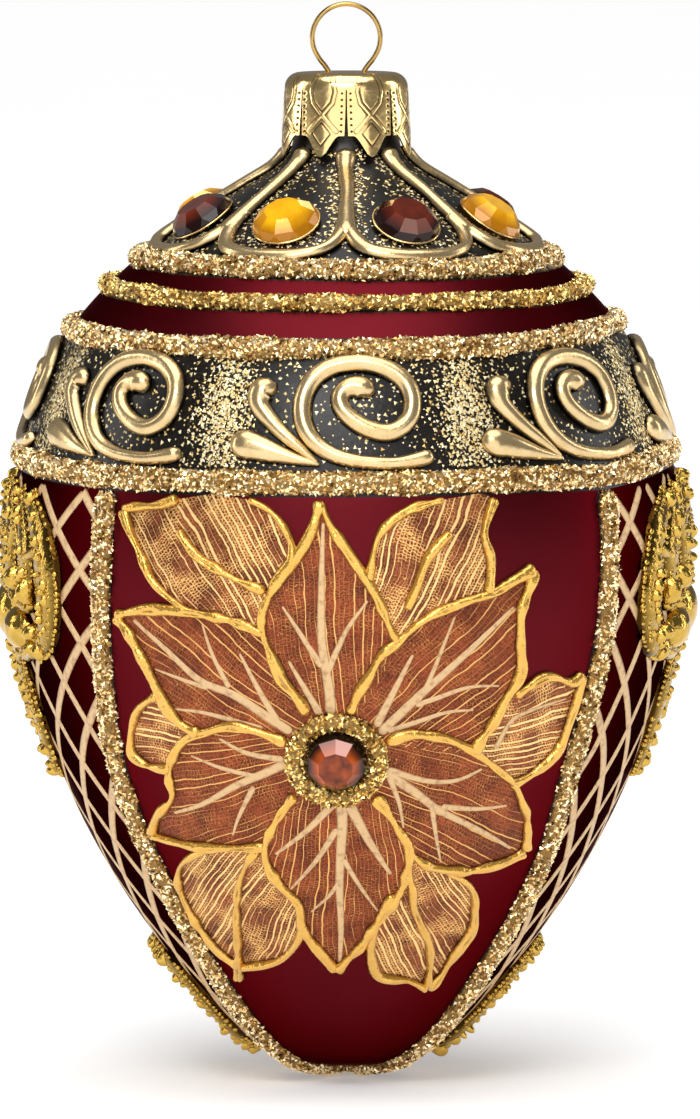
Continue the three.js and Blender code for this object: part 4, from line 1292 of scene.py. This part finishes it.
# Painted veins of the front flower, each from its fine end in to the stone, with its full width
FLOWER_VEINS = [
    (1.7, [(-3, 97.5), (-3.2, 91.3), (-3.2, 82.5), (-2.2, 75.2), (-2, 72)]),
    (1.1, [(-8.4, 86.7), (-6.1, 83.2), (-3.2, 78.6)]),
    (1.1, [(2.8, 87.5), (0.3, 84), (-1.2, 80.9), (-2.4, 78)]),
    (1.3, [(-7.6, 79.4), (-3.4, 72)]),
    (1.6, [(-30.3, 84), (-25.3, 80.5), (-19.9, 76.3), (-14.9, 74.4), (-9.5, 70.9), (-7.2, 69.4)]),
    (0.9, [(-19.5, 84), (-18, 79.8), (-15.7, 75.5)]),
    (1.2, [(-14.2, 80.2), (-11.1, 74.4), (-8.8, 70.5)]),
    (0.8, [(-26.8, 77.5), (-21.1, 75.9), (-18.8, 75.3)]),
    (1.0, [(-24.2, 72.1), (-18.8, 71.7), (-11.1, 69.8)]),
    (1.6, [(-24.5, 56.6), (-19.9, 58.3), (-14.9, 61.4), (-11.1, 63.3), (-7.9, 65.0)]),
    (1.0, [(-15.5, 53.7), (-14.5, 56.8), (-12.4, 61.4)]),
    (0.9, [(-21.5, 65.5), (-17.2, 64), (-11.8, 62.8)]),
    (1.1, [(-17.2, 68.2), (-13.4, 66.3), (-8.3, 65.5)]),
    (1.7, [(-0.9, 31.4), (-0.7, 39.1), (-0.9, 46.8), (-0.5, 56.4), (-0.7, 59.2)]),
    (1.4, [(-9.5, 51), (-5.3, 54.8), (-1.6, 59.2)]),
    (1.1, [(-7.6, 45.2), (-4.2, 49.8), (-1.2, 55.2)]),
    (0.8, [(-4.7, 41.6), (-2.2, 44.5), (-0.9, 46.8)]),
    (0.9, [(4.3, 41.6), (1.8, 46), (-0.4, 50.5)]),
    (1.8, [(5.9, 47.9), (3, 53.3), (0.3, 59.2)]),
    (1.7, [(23.6, 51), (18.8, 54.1), (12.6, 57.7), (9.2, 60.6), (4.9, 63.9)]),
    (1.1, [(22.6, 57.9), (18, 57.7), (12.8, 58.3)]),
    (0.9, [(12.8, 49.5), (12, 54.5), (11.5, 58.3)]),
    (1.2, [(18.6, 63.7), (14.9, 62.2), (10.7, 62.3), (5.4, 64.1)]),
    (1.0, [(7.6, 55.2), (7, 59.1), (5.6, 63.2)]),
    (1.6, [(23, 86.1), (18.8, 82.5), (13.4, 77.8), (9.5, 74.4), (4.4, 69.3)]),
    (0.9, [(14.5, 85.2), (12.6, 80.5), (10.7, 75.9), (9.3, 73.6)]),
    (1.4, [(8.8, 80.2), (7.2, 77.1), (3.9, 70.3)]),
    (0.9, [(20.9, 75.5), (16.5, 75.5), (12.2, 74.2), (9.2, 73.2)]),
    (1.0, [(17.2, 72.3), (13.4, 72.1), (9.5, 70.9), (5.5, 69.6)]),
    (0.8, [(32, 73), (27, 72), (23, 70.5), (20.5, 66.5)]),
]
FILM_BEHIND = 0.03
FILM_FRONT = 0.06
PAINT = 0.06                        # thickness of a painted line


def outline_of(parts):
    """The points of a petal's outline"""
    points = []
    for part in parts:
        if isinstance(part, str):
            line = curve_through(FLOWER_LINES[part.lstrip("-")], 6)
            points += list(map(tuple, line[::-1] if part.startswith("-") else line))
        else:
            points.append(part)
    return points


class EGG_OT_flowers(bpy.types.Operator):
    """Lay the copper film of the petals, paint their veins and draw them round with gold paste"""
    bl_idname = "egg.flowers"
    bl_label = "Flowers"

    def execute(self, context):
        colours = colours_of(context)
        sizes = sizes_of(context)
        near = petal_film("copper_leaf_film", colours.copper, "#964628", "#e0ae66", "#b87a3e", 1.1, 0.17, 0.1)
        far = petal_film("gold_netted_film", colours.copper, "#9c5230", "#f6d08a", "#e6b068", 0.66, 0.24, 0.24)
        paint = pale_gold_paint(colours)
        paste = gold_paste(colours)
        rng = np.random.default_rng(SEED + 2)
        self.front_flower(near, far, paint, paste, sizes, rng)
        self.back_flower(near, paint, paste, sizes, rng)
        return {"FINISHED"}

    @staticmethod
    def vein(shape, angle, line, width):
        """A painted line that widens from its fine end"""
        bead(shape, angle, line, width, PAINT, profile=lambda t: 0.3 + 0.7 * t ** 0.8, sides=4, step=0.7,
             ground=FILM_FRONT, sink=0.02)

    @staticmethod
    def draw_round(shape, angle, line, sizes, rng, share=1.0, sway=0.2):
        """An uneven line of relief paste, drawn by hand"""
        bead(shape, angle, line, sizes.paste_width / MM * share, sizes.paste_height / MM, sides=13,
             profile=squeezed, step=0.42, wobble=0.4, sway=sway, groove=0.6, rng=rng)

    def front_flower(self, near, far, paint, paste, sizes, rng):
        """Six petals of different shapes over the tips of others behind them"""
        petals, behind, veins, drawn = (Shape() for _ in range(4))
        centre = (FLOWER_SHIFT, FLOWER_LEVEL)
        disc_radius = 7.6
        for parts in FRONT_PETALS:
            film(petals, 0.0, outline_of(parts), FILM_FRONT, centre)
        disc = [(centre[0] + disc_radius * math.cos(t), centre[1] + disc_radius * math.sin(t))
                for t in spaced(24)]
        film(petals, 0.0, disc, FILM_BEHIND, (centre[0], centre[1] - 1))
        keep(petals.make("front_petals", [near]), "lacquered_glass")
        for parts in PETALS_BEHIND:
            film(behind, 0.0, outline_of(parts), FILM_BEHIND, centre)
        keep(behind.make("front_petals_behind", [far]), "lacquered_glass")
        for width, line in FLOWER_VEINS:
            self.vein(veins, 0.0, line, width)
        keep(veins.make("front_veins", [paint]), "piping_gold")
        for name, line in FLOWER_LINES.items():
            share = 0.85 if name.startswith(("rib", "behind")) else 1.0
            self.draw_round(drawn, 0.0, line, sizes, rng, share, 0.22)
        keep(drawn.make("front_flower_paste", [paste]), "paste_gold", "front_flower_outline")

    def back_flower(self, near, paint, paste, sizes, rng):
        """A plainer flower of six equal petals"""
        petals, veins, drawn = (Shape() for _ in range(3))
        edge = [(6.3, 3.64), (14, 6.4), (21, 5.6), (30, 0)]
        other = [(out, -aside) for out, aside in edge]
        outline = list(curve_through(edge, 6)) + list(curve_through(other, 6)[::-1]) + [(3.5, 0)]
        ribs = [(1.6, [(26, 0), (16, 0.3), (6.2, 0)])]
        for width, rib in ((1.0, [(19, 3.6), (14, 1.6), (9, 0.4)]), (0.9, [(13, 4.2), (10, 2), (6.5, 0.8)])):
            ribs += [(width, [(out, side * aside) for out, aside in rib]) for side in (1, -1)]
        count = 6
        for i in range(count):
            def turned(points, turn=i * TURN / count):
                return [(out * math.sin(turn) + aside * math.cos(turn),
                         FLOWER_LEVEL + out * math.cos(turn) - aside * math.sin(turn)) for out, aside in points]
            film(petals, BACK, turned(outline), FILM_FRONT, (0, FLOWER_LEVEL))
            for line in (edge, other):
                self.draw_round(drawn, BACK, turned(line), sizes, rng)
            for width, line in ribs:
                self.vein(veins, BACK, turned(line), width)
        keep(petals.make("back_petals", [near]), "lacquered_glass")
        keep(veins.make("back_veins", [paint]), "piping_gold")
        keep(drawn.make("back_flower_paste", [paste]), "paste_gold", "back_flower_outline")


class EGG_OT_paint(bpy.types.Operator):
    """Paint the lattice of the side panels and the fine dark lines along the panel ropes, enamel that is also
    painted shadow
    """
    bl_idname = "egg.paint"
    bl_label = "Lattice and edges"

    def execute(self, context):
        colours = colours_of(context)
        lattice = Shape()
        self.lattice(lattice, LEFT, pitch=0.17, shift=0.45,
                     rows=((22, -10.5), (51, -6), (80, -1), (95, 2), (101, 3.2)))
        self.lattice(lattice, RIGHT, pitch=0.145, shift=1.17, rows=((22, -9), (60.5, -3), (80.7, 0), (101, 4)))
        keep(lattice.make("painted_lattice", [pale_gold_paint(colours)]), "piping_gold")
        # The dark lines beside the panel ropes are black enamel and painted contact shadow in one
        edges = Shape()
        for angle, line in PANEL_ROPES:
            for side in (1, -1):
                reach = side * (PANEL_ROPE_WIDTH / 2 - 0.3)
                bead(edges, angle, [(across + reach, level) for across, level in line[1:]], 0.6, 0.03, sides=4,
                     step=1.2, sink=0.0, ground=0.01)
        keep(edges.make("enamel_edges", [black_enamel(colours)]), "lacquered_glass")
        return {"FINISHED"}

    @staticmethod
    def lattice(shape, angle, pitch, shift, rows):
        """Two families of slanting lines between the ropes of a side panel. The pitch is a share of half the
        panel's width, and rows says at which levels the numbered rows of crossings lie."""
        half_panel = math.pi / 2 - PANEL_HALF
        inside = 1.03
        level = np.arange(9.0, 101.0, 1.0)
        row = np.interp(level, *zip(*rows))
        narrowing = 1 - 0.13 * np.clip((85 - level) / 20, 0, 1)
        for slant in (1, -1):
            for number in range(-9, 10):
                share = (2 * number + shift + slant * row) * pitch * narrowing
                seen = np.abs(share) < inside
                if seen.sum() < 4:
                    continue
                across = share[seen] * half_panel * GLASS.foot(level[seen])
                line = list(zip(across, level[seen]))
                bead(shape, angle, line[::3] + line[-1:], 1.35, PAINT, sides=4, step=0.9, sink=0.0,
                     ground=0.015 + 0.01 * (slant > 0))


def granule_tree():
    """A granule on each corner of a mesh, as wide as its `size` says"""
    tree, given = start_geometry_tree("set granules", {"Scale": 1.0, "Height": 0.8, "Seed": SEED})
    points = node(tree, "GeometryNodeMeshToPoints", {"Mesh": given["Geometry"]})
    ball = node(tree, "GeometryNodeMeshUVSphere", {"Radius": 0.5, "Segments": 6, "Rings": 4})
    size = node(tree, "GeometryNodeInputNamedAttribute", {"Name": "size"}, data_type="FLOAT")
    scaled = node(tree, "ShaderNodeMath", {0: size, 1: given["Scale"]}, operation="MULTIPLY")
    lowest = node(tree, "ShaderNodeCombineXYZ", {"X": 0.9, "Y": 0.9, "Z": given["Height"]})
    uneven = node(tree, "FunctionNodeRandomValue", {0: lowest, 1: (1.15, 1.15, 1.0), "Seed": given["Seed"]},
                  data_type="FLOAT_VECTOR")
    scale = node(tree, "ShaderNodeVectorMath", {0: uneven, "Scale": scaled}, operation="SCALE")
    placed = node(tree, "GeometryNodeInstanceOnPoints", {"Points": points, "Instance": ball, "Scale": scale})
    solid = node(tree, "GeometryNodeRealizeInstances", {"Geometry": placed})
    shaded = node(tree, "GeometryNodeSetShadeSmooth", {"Geometry": solid})
    # Granules take a rise of 1, so that no painted shade falls on them
    crest = node(tree, "GeometryNodeStoreNamedAttribute", {"Geometry": shaded, "Name": "rise", "Value": 1.0},
                 data_type="FLOAT", domain="POINT")
    finished = node(tree, "GeometryNodeSetMaterial", {"Geometry": crest, "Material": given["Material"]})
    node(tree, "NodeGroupOutput", {"Geometry": finished})
    return tree


class Ornament:
    """A cast ornament of a side panel: its body, and the corners that its granules are set on"""

    def __init__(self, angle, granule, rng):
        self.angle = angle
        self.granule = granule
        self.rng = rng
        self.body = Shape()
        self.beads = Shape()

    def stroke(self, line, width, height, painted_brightness, **settings):
        """A stroke of cast metal whose stored rise is scaled down by a share, which deepens its painted shade"""
        bead(self.body, self.angle, line, width, height, rng=self.rng, **settings)
        self.body.values[-1]["rise"] = painted_brightness * self.body.values[-1]["rise"]

    def web(self, line, width):
        """A low stroke with a row of granules along its crest"""
        self.stroke(line, width, 1.5, 0.8, step=0.6, wobble=0.25, sway=0.15)
        length = distances(np.array(line))[-1]
        spots = at_distances(curve_through(line), np.arange(0.6, length, 0.95 * self.granule))
        self.beads.add(GLASS.place(self.angle, spots[:, 0], spots[:, 1], 1.3), [],
                       size=self.granule * self.rng.uniform(0.6, 1.2, len(spots)) * MM)

    def boss(self, across, level, size, steps=8, sides=20):
        """A polished swelling: half an ellipsoid on the glass"""
        tilt = np.linspace(0.02, math.pi / 2, steps)[:, None]
        turns = spaced(sides)[None]
        wide, tall, high = size
        self.body.add_rings(GLASS.place(self.angle, across + wide * np.sin(tilt) * np.cos(turns),
                                        level + tall * np.sin(tilt) * np.sin(turns), high * np.cos(tilt) - 0.1))

    def lobe(self, line, width, height):
        """A lobe of cast metal: small granules along both edges, and swellings of many sizes down its middle"""
        def leaf(t):
            return 0.5 + 0.5 * np.sin(math.pi * t)
        self.stroke(line, width, height * 0.75, 0.66, profile=leaf, step=0.7, wobble=0.2, sway=0.2)
        path = curve_through(line)
        length = distances(path)[-1]
        along = directions(path)
        spread = np.linspace(0, length, len(path))

        def spot(here, reach):
            x, y, tx, ty = (np.interp(here, spread, column) for column in (*path.T, *along.T))
            return x + ty * reach, y - tx * reach
        uniform = self.rng.uniform
        for side, lift, smallest, largest in ((-0.44, 0.3, 0.7, 1.2), (0.44, 0.3, 0.7, 1.2),
                                              (-0.25, 0.55, 0.5, 1.1), (0.25, 0.55, 0.5, 1.1)):
            spots, sizes = [], []
            here = 0.2
            while here < length:
                size = self.granule * uniform(smallest, largest)
                across, level = spot(here, side * width * leaf(here / length) + uniform(-0.2, 0.2))
                spots.append(GLASS.place(self.angle, across, level, height * leaf(here / length) * lift))
                sizes.append(size * MM)
                here += size * uniform(0.65, 1.05)
            self.beads.add(np.array(spots), [], size=np.array(sizes))
        here = uniform(0.4, 1.2)
        while here < length - 0.4:
            half = self.granule * uniform(0.55, 1.2)
            across, level = spot(here, uniform(-0.12, 0.12) * width)
            size = (half * uniform(0.7, 0.95), half * uniform(1.0, 1.5), height * uniform(0.85, 1.25))
            self.boss(across, level, size, 6, 14)
            here += half * uniform(1.5, 2.2)

    def finish(self, name, gold, tree, number):
        """Joins the cast body and its granules"""
        cast = self.body.make(name, [gold], sharp_angle=55)
        strewn = self.beads.make(name + "_granules", [gold])
        run_tree(strewn, tree, seed=SEED + number, material=gold)
        with bpy.context.temp_override(active_object=cast, selected_editable_objects=[cast, strewn]):
            bpy.ops.object.join()
        return cast


class EGG_OT_filigree(bpy.types.Operator):
    """Cast the side ornaments and the leaves near the tip, covered with granules of every size"""
    bl_idname = "egg.filigree"
    bl_label = "Filigree"

    def execute(self, context):
        gold = filigree_gold(colours_of(context))
        granule = sizes_of(context).granule / MM
        tree = granule_tree()
        rng = np.random.default_rng(SEED + 3)
        for i, (place, angle) in enumerate((("left", LEFT), ("right", RIGHT))):
            medallion = Ornament(angle, granule, rng)
            self.medallion(medallion)
            keep(medallion.finish(f"{place}_filigree", gold, tree, i), "filigree_gold", f"{place}_medallion")
            leaf = Ornament(angle, granule * 0.9, rng)
            for side in (1, -1):
                strip = [(side * 1.2, 32.8), (side * 5.2, 27.5), (side * 4.8, 20), (side * 0.9, 12.4)]
                leaf.lobe(strip, 3.4, 1.9)
            keep(leaf.finish(f"{place}_leaf", gold, tree, i + 2), "filigree_gold", f"{place}_tip_leaf")
        return {"FINISHED"}

    @staticmethod
    def medallion(cast):
        """Lobes that curve up and out around polished bosses, leaves that hang below them, and the cast webs that
        join them"""
        def mirrored(line, side):
            return [(side * across, level) for across, level in line]
        hook = [(21.4, 92), (16, 91), (12.6, 94.6), (9, 91), (4, 94.4), (0, 91.6)]
        cast.web([(-16.5, 78.6), (-10.4, 77.4), (0, 79.4), (10.4, 77.4), (16.5, 78.6)], 2.8)
        cast.web([(-17, 84.2), (-12.4, 84.6), (-6, 86.6), (0, 85.8), (6, 86.6), (12.4, 84.6), (17, 84.2)], 2.6)
        for side in (-1, 1):
            cast.web(mirrored(hook, side), 1.7)
        cast.web([(-7, 71.5), (-3.4, 68.4), (0, 71), (3.4, 68.4), (7, 71.5)], 1.7)
        cast.lobe([(0, 86), (0, 92), (0, 99.2)], 4.8, 2.0)
        fan = [(5.6, [(15.5, 77.8), (20.4, 80.4), (22.3, 84.5), (22.6, 88.5), (21, 93.4), (16.2, 98.6)]),
               (4.8, [(12, 84), (15.8, 87.5), (16, 92.5), (12, 98.8)]),
               (4.6, [(4, 86), (8.6, 89), (9, 94), (6.2, 99.2)])]
        for side in (1, -1):
            for width, line in fan:
                cast.lobe(mirrored(line, side), width, 2.0)
            cast.boss(side * 10.4, 80.6, (3.7, 3.1, 2.9), 12, 32)
            for across, level, size in ((16.4, 80.6, (1.3, 1.3, 2.3)), (17.2, 86.2, (1.1, 2.1, 2.8)),
                                        (12.4, 87.6, (1.2, 1.9, 2.8))):
                cast.boss(side * across, level, size)
            cast.lobe(mirrored([(4.6, 79), (7.4, 70.5), (5.6, 59.4)], side), 4.6, 1.9)
        cast.boss(0, MEDALLION_LEVEL - 2, (4.6, 4.2, 3.0), 12, 32)
        cast.lobe([(0, 78.5), (0, 70), (0, 59.4)], 4.6, 1.9)


class EGG_OT_dust(bpy.types.Operator):
    """Strew gold flecks over the black enamel"""
    bl_idname = "egg.dust"
    bl_label = "Gold dust"

    def execute(self, context):
        sizes = sizes_of(context)
        columns, rows = 256, 20
        tones = ((0.0, "#ccb074"), (0.25, "#f4e4bc"), (1.0, "#ffffff"))
        flecks = glitter("gold_flecks", "#fff0c8", tones, 0.5)
        tree = scatter_tree("strew flecks")
        band = (SHOULDER_ROPES[3][0] + 1.9, SHOULDER_ROPES[2][0] - 1.8)
        dome = (SHOULDER_ROPES[0][0] + 1.9, 161.0)
        turns = spaced(columns)[None]
        for i, (name, (low, high)) in enumerate((("band_gold_dust", band), ("dome_gold_dust", dome))):
            levels = np.linspace(low, high, rows)[:, None]
            sheet = Shape()
            sheet.add(GLASS.place(turns, 0, levels, 0.03).reshape(-1, 3), skin(rows, columns).tolist(),
                      amount=dust_amount(turns, levels).reshape(-1))
            dust = sheet.make(name, [flecks])
            run_tree(dust, tree, density=sizes.flecks / MM ** 2, grain=sizes.fleck, flatness=0.1, spread=0.6,
                     tilt=0.16, seed=SEED + 40 + i, keep_base=False, material=flecks)
            keep(dust, "glitter")
        return {"FINISHED"}


class EGG_OT_stage(bpy.types.Operator):
    """Set up the paper floor, the soft lights and the camera"""
    bl_idname = "egg.stage"
    bl_label = "Stage"

    def execute(self, context):
        scene = context.scene
        reach, clearance = 12.0, 0.0002
        floor_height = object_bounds()[0][2] - clearance
        mesh = bpy.data.meshes.new("paper_floor")
        corners = [(x * reach, y * reach, floor_height) for x, y in ((-1, -1), (1, -1), (1, 1), (-1, 1))]
        mesh.from_pydata(corners, [], [(0, 1, 2, 3)])
        mesh.materials.append(white_paper())
        floor = bpy.data.objects.new("paper_floor", mesh)
        scene.collection.objects.link(floor)
        floor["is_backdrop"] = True

        world = bpy.data.worlds.new("studio")
        world.use_nodes = True
        background = world.node_tree.nodes["Background"].inputs
        background["Color"].default_value = linear("#f2f3f5")
        background["Strength"].default_value = 0.2
        scene.world = world
        middle = Vector((0, 0, -0.075))
        sun = bpy.data.lights.new("overhead_softbox", "SUN")
        sun.energy = 1.95
        sun.angle = math.radians(58)
        self.aim(scene, sun, Vector((0.0, -0.12, 1.0)), middle)
        for name, spot, size, power in (
                ("key_softbox", (-0.15, -0.95, 0.7), (0.6, 0.4), 6.5),
                ("front_wall", (0.0, -1.8, 0.3), (2.2, 1.1), 10.5),
                ("left_strip", (-0.9, 0.1, 0.1), (0.15, 0.9), 2.0),
                ("right_strip", (0.9, 0.2, 0.1), (0.15, 0.9), 2.0)):
            light = bpy.data.lights.new(name, "AREA")
            light.shape = "RECTANGLE"
            light.size, light.size_y = size
            light.energy = power
            self.aim(scene, light, Vector(spot), middle)

        camera = bpy.data.cameras.new("camera")
        camera.sensor_fit = "VERTICAL"
        camera.sensor_height = 36.0
        focal_pixels, frame_height = 8787, 1119
        camera.lens = camera.sensor_height * focal_pixels / frame_height
        camera.clip_end = 100
        aside, distance = 0.0005, 1.19
        eye_level, sight_level, origin_level = 178, 69.16, 144.26
        sight = Vector((aside, 0, (sight_level - origin_level) * MM))
        eye = Vector((aside, -distance, (eye_level - origin_level) * MM))
        scene.camera = self.aim(scene, camera, eye, sight)
        scene.view_settings.view_transform = "Standard"
        return {"FINISHED"}

    @staticmethod
    def aim(scene, data, spot, target):
        """Puts a light or a camera at a spot, facing a target"""
        placed = bpy.data.objects.new(data.name, data)
        placed.location = spot
        placed.rotation_euler = (target - spot).to_track_quat("-Z", "Y").to_euler()
        scene.collection.objects.link(placed)
        return placed


OPERATORS = (EGG_OT_glass, EGG_OT_cap, EGG_OT_ring, EGG_OT_ropes, EGG_OT_piping, EGG_OT_stones, EGG_OT_flowers,
             EGG_OT_paint, EGG_OT_filigree, EGG_OT_dust, EGG_OT_stage)


class EGG_PT_panel(bpy.types.Panel):
    """The egg's pieces in the sidebar"""
    bl_idname = "EGG_PT_panel"
    bl_label = "Jewelled egg"
    bl_space_type = "VIEW_3D"
    bl_region_type = "UI"
    bl_category = "Jewelled egg"

    def draw(self, context):
        for operator in OPERATORS:
            self.layout.operator(operator.bl_idname)
        for group in (sizes_of(context), colours_of(context)):
            for name in group.__annotations__:
                self.layout.prop(group, name)


def register():
    for cls in (EggSizes, EggColours, *OPERATORS, EGG_PT_panel):
        bpy.utils.register_class(cls)
    bpy.types.Scene.egg_sizes = PointerProperty(type=EggSizes)
    bpy.types.Scene.egg_colours = PointerProperty(type=EggColours)


def unregister():
    del bpy.types.Scene.egg_colours
    del bpy.types.Scene.egg_sizes
    for cls in reversed((EggSizes, EggColours, *OPERATORS, EGG_PT_panel)):
        bpy.utils.unregister_class(cls)


def main():
    register()
    for operator in OPERATORS:
        group, name = operator.bl_idname.split(".")
        getattr(getattr(bpy.ops, group), name)()
    boxes = {"cad": CAD_BOX, "visual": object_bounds()}
    {name: [list(corner) for corner in box] for name, box in boxes.items()}


if __name__ == "__main__":
    main()
